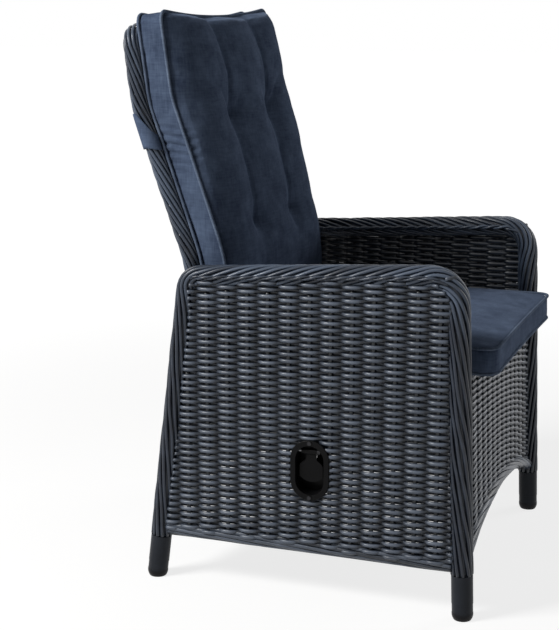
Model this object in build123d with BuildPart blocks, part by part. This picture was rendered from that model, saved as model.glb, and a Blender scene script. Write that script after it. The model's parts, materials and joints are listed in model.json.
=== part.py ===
from build123d import *
from math import atan2, ceil, cos, radians, sin, sqrt
import os

os.makedirs("parts", exist_ok=True)

# Reclining garden armchair in woven synthetic wicker, in millimetres.
# +Z is up, the sitter faces -Y and the release lever is on the sitter's right, at -X.
# The origin is on the ground, under the middle of the chair.

# Width: the arms stand beside the cushions.
cushion_half = 266
cushion_side_gap = 23.5

# Side frames: one bent tube makes the rear leg, the arm and the front leg.
leg_tube_d = 28
tube_wall = 1.5
wrap_d = 41
side_x = cushion_half + cushion_side_gap + wrap_d / 2
front_foot_y = -308
rear_foot_y = 290
arm_front_y = -285
arm_front_z = 619
arm_rear_y = 216
arm_rear_z = 588
arm_front_bend = 50
arm_rear_bend = 27

# Gaps: a weld seam, a shaft in its hole, parts laid together and parts that pass.
weld_gap = 0.1
fit_gap = 0.05
seat_gap = 0.3
pass_gap = 3.0
overrun = 5.0

# Feet
glide_d = 38
glide_contact_d = 24
glide_round = 15
glide_top = 30
glide_floor = 9
glide_tip = 4
glide_arc_shares = (0.76, 0.34)
sleeve_d = 39
sleeve_top = 84

# Woven panels: thickest where the strands pass over an upright stake, thin between stakes
weave_t = 10
weave_thin_t = 3.2
stake_pitch = 39.5
side_stake_y = -21
apron_t = 8
apron_stake_pitch = 42.5
weave_offset = 13
weave_x = side_x + weave_offset
bottom_rail_d = 20
bottom_rail_z = 104
bottom_roll_d = 38

# Front and rear aprons with their arched lower rails
arch_rail_d = 16
arch_roll_d = 24
arch_end = 97
arch_rise = 65
rear_rail_d = 20
rear_rail_z = 352

# Seat
seat_rail = 25
seat_top_z = 430
seat_back_y = 145
side_rail_w = 15
side_rail_h = 30
side_rail_inset = 10.5
side_rail_x = side_x - side_rail_inset
strap_t = 2
strap_w = 50
cross_straps = 5
long_straps = 5
spacer_d = 18
spacer_len = 20.5
seat_rail_x = side_rail_x - side_rail_w / 2 - spacer_len - seat_rail / 2
seat_bolt_d = 8
seat_bolt_head_d = 13
seat_bolt_head_h = 4.5
seat_bolt_front_y = -225
seat_bolt_rear_y = 5

# Seat cushion
seat_cushion_t = 51
seat_crown = 14
seat_cushion_front_y = -347
seat_cushion_rear_y = 134

# Back frame: its side tubes follow an S, given at four points of the centre line.
back_frame_inset = 1
back_x = cushion_half - back_frame_inset
back_tube_d = 18
back_wrap_d = 26
back_low_y = 212
back_low_drop = 30
back_low_z = seat_top_z - back_low_drop
back_waist_y = 224
back_waist_z = 600
back_shoulder_y = 327
back_shoulder_z = 890
back_top_y = 344
back_top_z = 1022
back_bend = 240
back_corner = 28
back_wrap_low_z = 545
back_weave_t = 8

# Recline hinge
pivot_y = 70
pivot_rise = 15
pivot_z = seat_top_z + pivot_rise
recline_limit = 28.5
pivot_bolt_d = 10
pivot_bush_d = 14
pivot_flange_d = 26
pivot_head_d = 20
pivot_head_h = 3.4
hinge_plate_t = 5
hinge_plate_r = 18
hinge_foot_r = 15
hinge_top_r = 11
hinge_top_z = 520
bracket_t = 4
bracket_r = 17
bracket_w = 64
nut_af = 17
nut_h = 8

# Lockable gas spring between the seat frame and the back
gas_arm = 80
gas_length = 230
gas_stroke_spare = 8
gas_body_d = 22
gas_body_wall = 2
gas_rod_d = 10
gas_piston_h = 10
gas_gland_h = 8
gas_eye_w = 16
gas_eye_d = 24
gas_pin_d = 8
gas_pivot_play = 2.0
gas_neck = 14
gas_neck_d = 12
cheek_t = 4
cheek_r = 12
fork_block = 34
head_w = 22
head_front = 12
head_rear = 34
head_toe_r = 8
pin_head_d = 12
anchor_w = 30

# Release arm on the head of the gas spring
release_pivot_y = 14
release_pivot_drop = 17
release_pin_d = 4
release_arm_t = 5
release_arm_len = 24
release_tip_r = 3.5
release_slot_w = 6.4
stop_lug_t = 5

# Release lever in its moulded housing
lever_y = -25
lever_z = 250
flange_h = 113
flange_w = 74
flange_t = 3.5
pocket_h = 98
pocket_w = 60
pocket_depth = 31
pocket_wall = 3
lever_axis_z = 283
lever_axis_in = 9
lever_hub_d = 12
lever_pin_d = 4
lever_spring_w = 6
lever_t = 4
neck_w = 19
paddle_w = 44
paddle_top_z = 263
paddle_low_z = 226
lever_arm_len = 28
lever_arm_h = 9
lever_arm_t = 5
lever_limit = 22
cable_slot_w = 8
housing_screw_d = 4
housing_screw_head_d = 7.5
stop_h = 36
stop_w = 18
stop_shelf = 16
stop_shelf_t = 6

# Bowden cable
sheath_d = 5
sheath_bore_d = 2.2
wire_d = 1.6
nipple_d = 5
nipple_h = 4
sheath_seat = 2
sheath_play = 0.7
cable_high_z = 372
cable_bends = (30, 110, 38)

# Back cushion: thickness of its boxing, and heights of its tufts
boxing_t = 48
back_cushion_gap = 0.7
back_cushion_low_z = 506
back_cushion_top_z = 1056
tuft_x = 98
tuft_low_z = 660
tuft_high_z = 864

# Rise of the back cushion's middle, and the spread of both cushions' sides
back_crown = 54
side_bulge = 3
rear_slack_share = 0.15

# Strap that holds the back cushion on its frame
hold_strap_t = 2
hold_strap_w = 60
hold_strap_z = 848


def finish(builder, name):
    """Labels a finished piece and writes it under its name."""
    builder.part.label = name
    export_step(builder.part, f"parts/{name}.step")


def front_leg_y(z):
    return front_foot_y + (arm_front_y - front_foot_y) * z / arm_front_z


def rear_leg_y(z):
    return rear_foot_y + (arm_rear_y - rear_foot_y) * z / arm_rear_z


def back_y(z):
    """Centre line of the back frame's side tubes at a height."""
    points = (
        (back_low_y, back_low_z),
        (back_waist_y, back_waist_z),
        (back_shoulder_y, back_shoulder_z),
        (back_top_y, back_top_z),
    )
    for (y0, z0), (y1, z1) in zip(points, points[1:]):
        if z <= z1 or (y1, z1) == points[-1]:
            return y0 + (y1 - y0) * (z - z0) / (z1 - z0)


def leg_plane(x, foot_y, corner_y, corner_z):
    """Plane across a leg at the ground, with its normal along the leg."""
    return Plane(origin=(x, foot_y, 0), x_dir=(1, 0, 0), z_dir=(0, corner_y - foot_y, corner_z))


def apron_plane(foot_y, corner_y, corner_z):
    """Plane through the axes of two legs, with its own Y up along them."""
    return Plane(origin=(0, foot_y, 0), x_dir=(1, 0, 0), z_dir=(0, -corner_z, corner_y - foot_y))


def woven_section(low, high, stake, pitch, thickness):
    """Section of a woven panel from a low to a high end, in line with one stake's place."""
    before, after = ceil((stake - low) / pitch), ceil((high - stake) / pitch)
    with BuildSketch() as section:
        with BuildLine():
            for face in (1, -1):
                for number in range(-before, after + 1):
                    middle = stake + number * pitch
                    ThreePointArc(
                        (middle - pitch / 2, face * weave_thin_t / 2),
                        (middle, face * thickness / 2),
                        (middle + pitch / 2, face * weave_thin_t / 2),
                    )
            for end in (stake - (before + 1 / 2) * pitch, stake + (after + 1 / 2) * pitch):
                Line((end, -weave_thin_t / 2), (end, weave_thin_t / 2))
        make_face()
        with Locations(((low + high) / 2, 0)):
            Rectangle(high - low, thickness, mode=Mode.INTERSECT)
    return section.sketch


sides = ((1, "left"), (-1, "right"))
leg_ends = (
    ("front", front_foot_y, arm_front_y, arm_front_z),
    ("rear", rear_foot_y, arm_rear_y, arm_rear_z),
)
wrap_r = wrap_d / 2
leg_tube_r = leg_tube_d / 2
seat_rail_z = seat_top_z - seat_rail / 2
side_rail_z = seat_top_z - side_rail_h / 2
seat_front_y = front_leg_y(seat_top_z) + apron_t / 2 + seat_gap
weave_out = weave_x + weave_t / 2

# Side frames


def side_path(low_z):
    """Centre line of a side tube, with both of its ends at one height."""
    return FilletPolyline(
        (rear_leg_y(low_z), low_z),
        (arm_rear_y, arm_rear_z),
        (arm_front_y, arm_front_z),
        (front_leg_y(low_z), low_z),
        radius=[arm_rear_bend, arm_front_bend],
    )


def arch_path(half):
    """Arch of an apron's lower rail, out to a half width."""
    radius = (side_x**2 + arch_rise**2) / (2 * arch_rise)
    end_height = arch_end + arch_rise - radius + sqrt(radius**2 - half**2)
    return ThreePointArc((-half, end_height), (0, arch_end + arch_rise), (half, end_height))


for sign, side in sides:
    with BuildPart() as side_frame:
        with BuildLine(Plane.YZ.offset(sign * side_x)) as side_line:
            side_path(glide_floor)
        with BuildSketch(side_line.line ^ 0):
            Circle(leg_tube_r)
            Circle(leg_tube_r - tube_wall, mode=Mode.SUBTRACT)
        sweep()
    finish(side_frame, f"side_frame_{side}")

    with BuildPart() as bottom_rail:
        with BuildSketch(Plane.XZ.offset(-rear_leg_y(bottom_rail_z))):
            with Locations((sign * side_x, bottom_rail_z)):
                Circle(bottom_rail_d / 2)
                Circle(bottom_rail_d / 2 - tube_wall, mode=Mode.SUBTRACT)
        extrude(amount=rear_leg_y(bottom_rail_z) - front_leg_y(bottom_rail_z))
        for end, foot_y, corner_y, corner_z in leg_ends:
            with BuildSketch(leg_plane(sign * side_x, foot_y, corner_y, corner_z)):
                Circle(leg_tube_r + weld_gap)
            extrude(amount=seat_top_z, mode=Mode.SUBTRACT)
    finish(bottom_rail, f"side_bottom_rail_{side}")

    with BuildPart() as side_rail:
        with BuildSketch(Plane.XZ.offset(-rear_leg_y(side_rail_z))):
            with Locations((sign * side_rail_x, side_rail_z)):
                Rectangle(side_rail_w, side_rail_h)
                Rectangle(side_rail_w - 2 * tube_wall, side_rail_h - 2 * tube_wall, mode=Mode.SUBTRACT)
        extrude(amount=rear_leg_y(side_rail_z) - front_leg_y(side_rail_z))
        for end, foot_y, corner_y, corner_z in leg_ends:
            with BuildSketch(leg_plane(sign * side_x, foot_y, corner_y, corner_z)):
                Circle(leg_tube_r + weld_gap)
            extrude(amount=seat_top_z + leg_tube_d, mode=Mode.SUBTRACT)
        for bolt_y in (seat_bolt_front_y, seat_bolt_rear_y):
            with BuildSketch(Plane.YZ.offset(sign * (side_rail_x - side_rail_w / 2 - overrun))):
                with Locations((bolt_y, seat_rail_z)):
                    Circle(seat_bolt_d / 2 + fit_gap)
            extrude(amount=sign * (side_rail_w + 2 * overrun), mode=Mode.SUBTRACT)
    finish(side_rail, f"side_seat_rail_{side}")

    # The braided wrap on the arm and legs has holes where the rails are welded on.
    with BuildPart() as arm_wrap:
        with BuildLine(Plane.YZ.offset(sign * side_x)) as wrap_line:
            side_path(sleeve_top + seat_gap)
        with BuildSketch(wrap_line.line ^ 0):
            Circle(wrap_r)
            Circle(leg_tube_r + fit_gap, mode=Mode.SUBTRACT)
        sweep()
        with BuildSketch(Plane.XZ.offset(-rear_leg_y(bottom_rail_z))):
            with Locations((sign * side_x, bottom_rail_z)):
                Circle(bottom_rail_d / 2 + seat_gap)
        extrude(amount=rear_leg_y(bottom_rail_z) - front_leg_y(bottom_rail_z), mode=Mode.SUBTRACT)
        with BuildSketch(Plane.XZ.offset(-rear_leg_y(side_rail_z))):
            with Locations((sign * side_rail_x, side_rail_z)):
                Rectangle(side_rail_w + 2 * seat_gap, side_rail_h + 2 * seat_gap)
        extrude(amount=rear_leg_y(side_rail_z) - front_leg_y(side_rail_z), mode=Mode.SUBTRACT)
        for end, foot_y, corner_y, corner_z in leg_ends:
            with BuildLine(apron_plane(foot_y, corner_y, corner_z)) as hole_line:
                arch_path(side_x)
            with BuildSketch(hole_line.line ^ 0):
                Circle(arch_rail_d / 2 + seat_gap)
            sweep(mode=Mode.SUBTRACT)
        with BuildSketch(Plane.YZ.offset(-side_x)):
            with Locations((rear_leg_y(rear_rail_z), rear_rail_z)):
                Circle(rear_rail_d / 2 + seat_gap)
        extrude(amount=2 * side_x, mode=Mode.SUBTRACT)
    finish(arm_wrap, f"arm_wrap_{side}")

# Feet: a moulded glide with a plug in the tube, and a sleeve between it and the wrap
for sign, side in sides:
    for end, foot_y, corner_y, corner_z in leg_ends:
        foot_plane = leg_plane(sign * side_x, foot_y, corner_y, corner_z)
        with BuildPart() as glide:
            with BuildSketch(Plane.XZ):
                with BuildLine():
                    tip = Line((0, -glide_tip), (glide_contact_d / 2, -glide_tip))
                    ThreePointArc(
                        tip @ 1,
                        (
                            glide_contact_d / 2 + (glide_d - glide_contact_d) / 2 * glide_arc_shares[0],
                            -glide_tip + (glide_round + glide_tip) * glide_arc_shares[1],
                        ),
                        (glide_d / 2, glide_round),
                    )
                    Polyline(
                        (glide_d / 2, glide_round),
                        (glide_d / 2, glide_top),
                        (leg_tube_r + fit_gap, glide_top),
                        (leg_tube_r + fit_gap, glide_floor),
                        (leg_tube_r - tube_wall - fit_gap, glide_floor),
                        (leg_tube_r - tube_wall - fit_gap, glide_top),
                        (0, glide_top),
                        (0, -glide_tip),
                    )
                make_face()
            revolve(axis=Axis.Z)
        placed_glide = foot_plane.location * glide.part
        with BuildPart() as foot_glide:
            add(placed_glide)
            split(bisect_by=Plane.XY, keep=Keep.TOP)
        finish(foot_glide, f"foot_glide_{end}_{side}")


for end, foot_y, corner_y, corner_z in leg_ends:
    with BuildPart() as leg_sleeves:
        for sign, side in sides:
            foot_plane = leg_plane(sign * side_x, foot_y, corner_y, corner_z)
            with BuildSketch(foot_plane.offset(glide_top + seat_gap)):
                Circle(sleeve_d / 2)
                Circle(leg_tube_r + fit_gap, mode=Mode.SUBTRACT)
            extrude(amount=sleeve_top - glide_top - 2 * seat_gap)
    finish(leg_sleeves, f"{end}_leg_sleeves")

# Side weaves: a woven panel whose lower edge rolls round the bottom rail. It lies outside the
# middle of the tubes, so it reaches in under the swell of their wraps.
panel_inset = sqrt(wrap_r**2 - (weave_offset - weave_t / 2) ** 2) + seat_gap
roll_inset = wrap_r + seat_gap


def side_outline(low_z):
    """Closed centre line of a side frame, with a straight foot."""
    upper = side_path(low_z)
    Line(upper @ 1, upper @ 0)


for sign, side in sides:
    with BuildPart() as side_weave:
        with BuildSketch(Plane.YZ.offset(sign * (weave_x - weave_t / 2))):
            with BuildLine():
                side_outline(bottom_rail_z - panel_inset)
            make_face()
            offset(amount=-panel_inset, kind=Kind.INTERSECTION, mode=Mode.REPLACE)
        extrude(amount=sign * weave_t)
        with BuildSketch(Plane(origin=(sign * weave_x, 0, 0), x_dir=(0, 1, 0), z_dir=(0, 0, 1))):
            add(woven_section(front_foot_y, rear_foot_y, side_stake_y, stake_pitch, weave_t))
        extrude(amount=arm_front_z, mode=Mode.INTERSECT)
        roll_rear_y = rear_leg_y(bottom_rail_z + bottom_roll_d / 2) - roll_inset - seat_gap
        roll_front_y = front_leg_y(bottom_rail_z - bottom_roll_d / 2) + roll_inset + pass_gap
        with BuildSketch(Plane.XZ.offset(-roll_rear_y)):
            with Locations((sign * side_x, bottom_rail_z)):
                Circle(bottom_roll_d / 2)
        extrude(amount=roll_rear_y - roll_front_y)
        with BuildSketch(Plane.XZ.offset(-rear_foot_y)):
            with Locations((sign * side_x, bottom_rail_z)):
                Circle(bottom_rail_d / 2 + fit_gap)
        extrude(amount=rear_foot_y - front_foot_y, mode=Mode.SUBTRACT)
        if side == "right":
            with BuildSketch(Plane.YZ.offset(-weave_x + weave_t)):
                with Locations((lever_y, lever_z)):
                    SlotOverall(pocket_h + 2 * seat_gap, pocket_w + 2 * seat_gap, rotation=90)
            extrude(amount=-2 * weave_t, mode=Mode.SUBTRACT)
    finish(side_weave, f"side_weave_{side}")

# Aprons: arched rails between the legs, each with a woven panel that rolls round it
panel_half = side_x - wrap_r - seat_gap

for end, foot_y, corner_y, corner_z in leg_ends:
    apron = apron_plane(foot_y, corner_y, corner_z)
    leg_axis_plane = leg_plane(0, foot_y, corner_y, corner_z)

    with BuildPart() as arch_rail:
        with BuildLine(apron) as arch_line:
            arch_path(side_x)
        with BuildSketch(arch_line.line ^ 0):
            Circle(arch_rail_d / 2)
            Circle(arch_rail_d / 2 - tube_wall, mode=Mode.SUBTRACT)
        sweep()
        with BuildSketch(leg_axis_plane):
            with Locations((-side_x, 0), (side_x, 0)):
                Circle(leg_tube_r + weld_gap)
        extrude(amount=seat_top_z, mode=Mode.SUBTRACT)
        for sign, side in sides:
            with BuildSketch(Plane(origin=(sign * side_x, foot_y, 0), z_dir=(sign, 0, 0))):
                Rectangle(2 * seat_top_z, 2 * seat_top_z)
            extrude(amount=leg_tube_r, mode=Mode.SUBTRACT)
    finish(arch_rail, f"{end}_arch_rail")

    apron_top_z = seat_top_z if end == "front" else rear_rail_z
    apron_top = apron_top_z * sqrt(1 + ((corner_y - foot_y) / corner_z) ** 2)
    with BuildPart() as apron_weave:
        with BuildSketch(apron.offset(-apron_t / 2)):
            with BuildLine():
                low_arc = arch_path(panel_half)
                Polyline(low_arc @ 1, (panel_half, apron_top), (-panel_half, apron_top), low_arc @ 0)
            make_face()
        extrude(amount=apron_t)
        with BuildSketch(leg_axis_plane):
            add(woven_section(-panel_half, panel_half, 0, apron_stake_pitch, apron_t))
        extrude(amount=apron_top, mode=Mode.INTERSECT)
        with BuildLine(apron) as roll_line:
            arch_path(panel_half)
        with BuildSketch(roll_line.line ^ 0):
            Circle(arch_roll_d / 2)
        sweep()
        with BuildLine(apron) as bore_line:
            arch_path(side_x)
        with BuildSketch(bore_line.line ^ 0):
            Circle(arch_rail_d / 2 + fit_gap)
        sweep(mode=Mode.SUBTRACT)
        if end == "rear":
            with BuildSketch(Plane.YZ.offset(-side_x)):
                with Locations((rear_leg_y(rear_rail_z), rear_rail_z)):
                    Circle(rear_rail_d / 2 + seat_gap)
            extrude(amount=2 * side_x, mode=Mode.SUBTRACT)
        for sign, side in sides:
            with BuildSketch(apron.offset(-side_x)):
                with Locations((sign * side_x, side_x)):
                    Rectangle(2 * (side_x - panel_half), 2 * side_x)
            extrude(amount=2 * side_x, mode=Mode.SUBTRACT)
    finish(apron_weave, f"{end}_apron_weave")

with BuildPart() as rear_rail:
    with BuildSketch(Plane.YZ.offset(-side_x)):
        with Locations((rear_leg_y(rear_rail_z), rear_rail_z)):
            Circle(rear_rail_d / 2)
            Circle(rear_rail_d / 2 - tube_wall, mode=Mode.SUBTRACT)
    extrude(amount=2 * side_x)
    with BuildSketch(leg_plane(0, rear_foot_y, arm_rear_y, arm_rear_z)):
        with Locations((-side_x, 0), (side_x, 0)):
            Circle(leg_tube_r + weld_gap)
    extrude(amount=seat_top_z, mode=Mode.SUBTRACT)
    for sign, side in sides:
        with BuildSketch(Plane.YZ.offset(sign * side_x)):
            with Locations((rear_foot_y, rear_rail_z)):
                Rectangle(leg_tube_d * 4, leg_tube_d)
        extrude(amount=sign * leg_tube_r, mode=Mode.SUBTRACT)
finish(rear_rail, "rear_top_rail")

# Seat frame: square tubes welded into a frame, bolted through spacers to the side rails
seat_depth = seat_back_y - seat_front_y
seat_cross_half = seat_rail_x - seat_rail / 2 - weld_gap
anchor_y = pivot_y + gas_arm * sin(radians(recline_limit / 2)) - gas_length
anchor_z = pivot_z - gas_arm * cos(radians(recline_limit / 2))

for sign, side in sides:
    with BuildPart() as seat_side:
        with BuildSketch(Plane.XZ.offset(-seat_back_y)):
            with Locations((sign * seat_rail_x, seat_rail_z)):
                Rectangle(seat_rail, seat_rail)
                Rectangle(seat_rail - 2 * tube_wall, seat_rail - 2 * tube_wall, mode=Mode.SUBTRACT)
        extrude(amount=seat_depth)
        for bolt_y in (seat_bolt_front_y, seat_bolt_rear_y):
            with BuildSketch(Plane.YZ.offset(sign * (seat_rail_x - seat_rail))):
                with Locations((bolt_y, seat_rail_z)):
                    Circle(seat_bolt_d / 2 + fit_gap)
            extrude(amount=sign * 2 * seat_rail, mode=Mode.SUBTRACT)
    finish(seat_side, f"seat_side_rail_{side}")

seat_cross_tubes = (
    ("seat_front_rail", seat_front_y + seat_rail / 2),
    ("seat_middle_rail", anchor_y),
    ("seat_rear_rail", seat_back_y - seat_rail / 2),
)
for name, tube_y in seat_cross_tubes:
    with BuildPart() as seat_cross:
        with BuildSketch(Plane.YZ.offset(-seat_cross_half)):
            with Locations((tube_y, seat_rail_z)):
                Rectangle(seat_rail, seat_rail)
                Rectangle(seat_rail - 2 * tube_wall, seat_rail - 2 * tube_wall, mode=Mode.SUBTRACT)
        extrude(amount=2 * seat_cross_half)
    finish(seat_cross, name)

strap_zone = 2 * seat_rail_x + seat_rail
with BuildPart() as cross_webbing:
    strap_step = (seat_depth - strap_w) / cross_straps
    with BuildSketch(Plane.XY.offset(seat_top_z)):
        with Locations((0, (seat_back_y + seat_front_y) / 2)):
            with GridLocations(0, strap_step, 1, cross_straps):
                Rectangle(strap_zone, strap_w)
    extrude(amount=strap_t)
finish(cross_webbing, "cross_webbing")

with BuildPart() as long_webbing:
    with BuildSketch(Plane.XY.offset(seat_top_z + strap_t + seat_gap)):
        with Locations((0, (seat_back_y + seat_front_y) / 2)):
            with GridLocations(strap_zone / (long_straps + 1), 0, long_straps, 1):
                Rectangle(strap_w, seat_depth)
    extrude(amount=strap_t)
finish(long_webbing, "long_webbing")
webbing_top = seat_top_z + 2 * strap_t + seat_gap

# Bolts and spacers that hold the seat frame between the side frames
seat_outer = seat_rail_x + seat_rail / 2
side_rail_inner = side_rail_x - side_rail_w / 2
bolt_places = [(y, seat_rail_z) for y in (seat_bolt_front_y, seat_bolt_rear_y)]

with BuildPart() as seat_spacers:
    for sign, side in sides:
        with BuildSketch(Plane.YZ.offset(sign * seat_outer)):
            with Locations(*bolt_places):
                Circle(spacer_d / 2)
                Circle(seat_bolt_d / 2 + fit_gap, mode=Mode.SUBTRACT)
        extrude(amount=sign * (side_rail_inner - seat_outer))
finish(seat_spacers, "seat_spacers")

with BuildPart() as seat_bolts:
    for sign, side in sides:
        head_x = seat_rail_x - seat_rail / 2 - seat_bolt_head_h
        shank_end = side_rail_x + side_rail_w / 2
        with BuildSketch(Plane.YZ.offset(sign * head_x)):
            with Locations(*bolt_places):
                Circle(seat_bolt_head_d / 2)
        extrude(amount=sign * seat_bolt_head_h)
        with BuildSketch(Plane.YZ.offset(sign * head_x)):
            with Locations(*bolt_places):
                Circle(seat_bolt_d / 2)
        extrude(amount=sign * (shank_end - head_x))
finish(seat_bolts, "seat_bolts")

# Recline hinge: brackets on the side rails, a shoulder bolt and a flanged bush on each side
plate_in = back_x + back_tube_d / 2 + weld_gap
plate_out = plate_in + hinge_plate_t
bracket_out = side_rail_inner
bracket_in = bracket_out - bracket_t

with BuildPart() as pivot_brackets:
    for sign, side in sides:
        with BuildSketch(Plane.YZ.offset(sign * bracket_in)):
            with Locations((pivot_y, pivot_z)):
                Circle(bracket_r)
            with Locations((pivot_y, side_rail_z)):
                Rectangle(bracket_w, side_rail_h)
            make_hull()
            with Locations((pivot_y, pivot_z)):
                Circle(pivot_bolt_d / 2 + fit_gap, mode=Mode.SUBTRACT)
        extrude(amount=sign * bracket_t)
finish(pivot_brackets, "pivot_brackets")

with BuildPart() as pivot_bolts:
    for sign, side in sides:
        with BuildSketch(Plane.YZ.offset(sign * (plate_in - seat_gap))):
            with Locations((pivot_y, pivot_z)):
                Circle(pivot_head_d / 2)
        extrude(amount=-sign * pivot_head_h)
        with BuildSketch(Plane.YZ.offset(sign * (plate_in - seat_gap - pivot_head_h))):
            with Locations((pivot_y, pivot_z)):
                Circle(pivot_bolt_d / 2)
        extrude(amount=sign * (bracket_out + nut_h - plate_in + seat_gap + pivot_head_h))
finish(pivot_bolts, "pivot_bolts")

with BuildPart() as pivot_nuts:
    for sign, side in sides:
        with BuildSketch(Plane.YZ.offset(sign * bracket_out)):
            with Locations((pivot_y, pivot_z)):
                RegularPolygon(nut_af / 2, 6, major_radius=False)
                Circle(pivot_bolt_d / 2 + fit_gap, mode=Mode.SUBTRACT)
        extrude(amount=sign * nut_h)
finish(pivot_nuts, "pivot_nuts")

with BuildPart() as pivot_bushes:
    for sign, side in sides:
        with BuildSketch(Plane.YZ.offset(sign * plate_in)):
            with Locations((pivot_y, pivot_z)):
                Circle(pivot_bush_d / 2)
        extrude(amount=sign * hinge_plate_t)
        with BuildSketch(Plane.YZ.offset(sign * plate_out)):
            with Locations((pivot_y, pivot_z)):
                Circle(pivot_flange_d / 2)
        extrude(amount=sign * (bracket_in - seat_gap - plate_out))
        with BuildSketch(Plane.YZ.offset(sign * plate_in)):
            with Locations((pivot_y, pivot_z)):
                Circle(pivot_bolt_d / 2 + fit_gap)
        extrude(amount=sign * (bracket_in - plate_in), mode=Mode.SUBTRACT)
finish(pivot_bushes, "pivot_bushes")

# Back frame: one tube up the side, across the top and down again


def back_path(low_y, low_z, side_half):
    """Centre line of the back frame's tube, from one low end to the other."""
    return FilletPolyline(
        (-side_half, low_y, low_z),
        (-side_half, back_waist_y, back_waist_z),
        (-side_half, back_shoulder_y, back_shoulder_z),
        (-side_half, back_top_y, back_top_z),
        (side_half, back_top_y, back_top_z),
        (side_half, back_shoulder_y, back_shoulder_z),
        (side_half, back_waist_y, back_waist_z),
        (side_half, low_y, low_z),
        radius=[back_bend, back_bend, back_corner, back_corner, back_bend, back_bend],
    )


back_tube_r = back_tube_d / 2
back_wrap_r = back_wrap_d / 2

with BuildPart() as back_frame:
    with BuildLine() as back_line:
        back_path(back_low_y, back_low_z, back_x)
    with BuildSketch(back_line.line ^ 0):
        Circle(back_tube_r)
        Circle(back_tube_r - tube_wall, mode=Mode.SUBTRACT)
    sweep()
finish(back_frame, "back_frame")

with BuildPart() as back_wrap:
    with BuildLine() as back_wrap_line:
        back_path(back_y(back_wrap_low_z), back_wrap_low_z, back_x)
    with BuildSketch(back_wrap_line.line ^ 0):
        Circle(back_wrap_r)
        Circle(back_tube_r + fit_gap, mode=Mode.SUBTRACT)
    sweep()
finish(back_wrap, "back_wrap")

lower_tube_z = back_low_z + back_tube_r
lower_tube_y = back_y(lower_tube_z)
back_foot_plane = Plane(
    origin=(0, back_low_y, back_low_z),
    x_dir=(1, 0, 0),
    z_dir=(0, back_waist_y - back_low_y, back_waist_z - back_low_z),
)
with BuildPart() as back_lower_tube:
    with BuildSketch(Plane.YZ.offset(-back_x)):
        with Locations((lower_tube_y, lower_tube_z)):
            Circle(back_tube_r)
            Circle(back_tube_r - tube_wall, mode=Mode.SUBTRACT)
    extrude(amount=2 * back_x)
    with BuildSketch(back_foot_plane.offset(-back_tube_d)):
        with Locations((-back_x, 0), (back_x, 0)):
            Circle(back_tube_r + weld_gap)
    extrude(amount=3 * back_tube_d, mode=Mode.SUBTRACT)
    for sign, side in sides:
        with BuildSketch(Plane.YZ.offset(sign * back_x)):
            with Locations((lower_tube_y, lower_tube_z)):
                Rectangle(2 * back_tube_d, 2 * back_tube_d)
        extrude(amount=sign * back_tube_d, mode=Mode.SUBTRACT)
finish(back_lower_tube, "back_lower_tube")

# Back weave: a panel swept up the same S, inside the wrapped tube
weave_half = back_x - back_wrap_r - seat_gap
weave_low_z = lower_tube_z + cheek_r + seat_gap
back_top_plane = Plane(
    origin=(0, back_top_y, back_top_z),
    x_dir=(1, 0, 0),
    z_dir=(0, back_shoulder_z - back_top_z, back_top_y - back_shoulder_y),
)
with BuildPart() as back_weave:
    with BuildLine(Plane.YZ) as weave_line:
        FilletPolyline(
            (back_y(weave_low_z), weave_low_z),
            (back_waist_y, back_waist_z),
            (back_shoulder_y, back_shoulder_z),
            (back_top_y, back_top_z),
            radius=back_bend,
        )
    with BuildSketch(Plane(origin=weave_line.line @ 0, x_dir=(1, 0, 0), z_dir=weave_line.line % 0)):
        add(woven_section(-back_x, back_x, 0, stake_pitch, back_weave_t))
    sweep()
    with BuildSketch(back_top_plane):
        with Locations((0, -back_wrap_r - seat_gap)):
            Rectangle(2 * weave_half, 2 * (back_top_z - back_low_z), align=(Align.CENTER, Align.MAX))
        fillet(vertices().group_by(Axis.Z)[-1], back_corner - back_wrap_r - seat_gap)
    extrude(amount=back_top_z - back_low_z, both=True, mode=Mode.INTERSECT)
finish(back_weave, "back_weave")

# Hinge plates: an L from the pivot back to the foot of each side tube, and up along it
hinge_foot_y = back_y(pivot_z - seat_gap)
for sign, side in sides:
    with BuildPart() as hinge_plate:
        with BuildSketch(Plane.YZ.offset(sign * plate_in)) as lower_arm:
            with Locations((pivot_y, pivot_z)):
                Circle(hinge_plate_r)
            with Locations((hinge_foot_y, pivot_z - seat_gap)):
                Circle(hinge_foot_r)
            make_hull()
        extrude(amount=sign * hinge_plate_t)
        with BuildSketch(Plane.YZ.offset(sign * plate_in)) as upper_arm:
            with Locations((hinge_foot_y, pivot_z - seat_gap)):
                Circle(hinge_foot_r)
            with Locations((back_y(hinge_top_z), hinge_top_z)):
                Circle(hinge_top_r)
            make_hull()
        extrude(amount=sign * hinge_plate_t)
        with BuildSketch(Plane.YZ.offset(sign * plate_in)):
            with Locations((pivot_y, pivot_z)):
                Circle(pivot_bush_d / 2 + fit_gap)
        extrude(amount=sign * hinge_plate_t, mode=Mode.SUBTRACT)
    finish(hinge_plate, f"hinge_plate_{side}")

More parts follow.
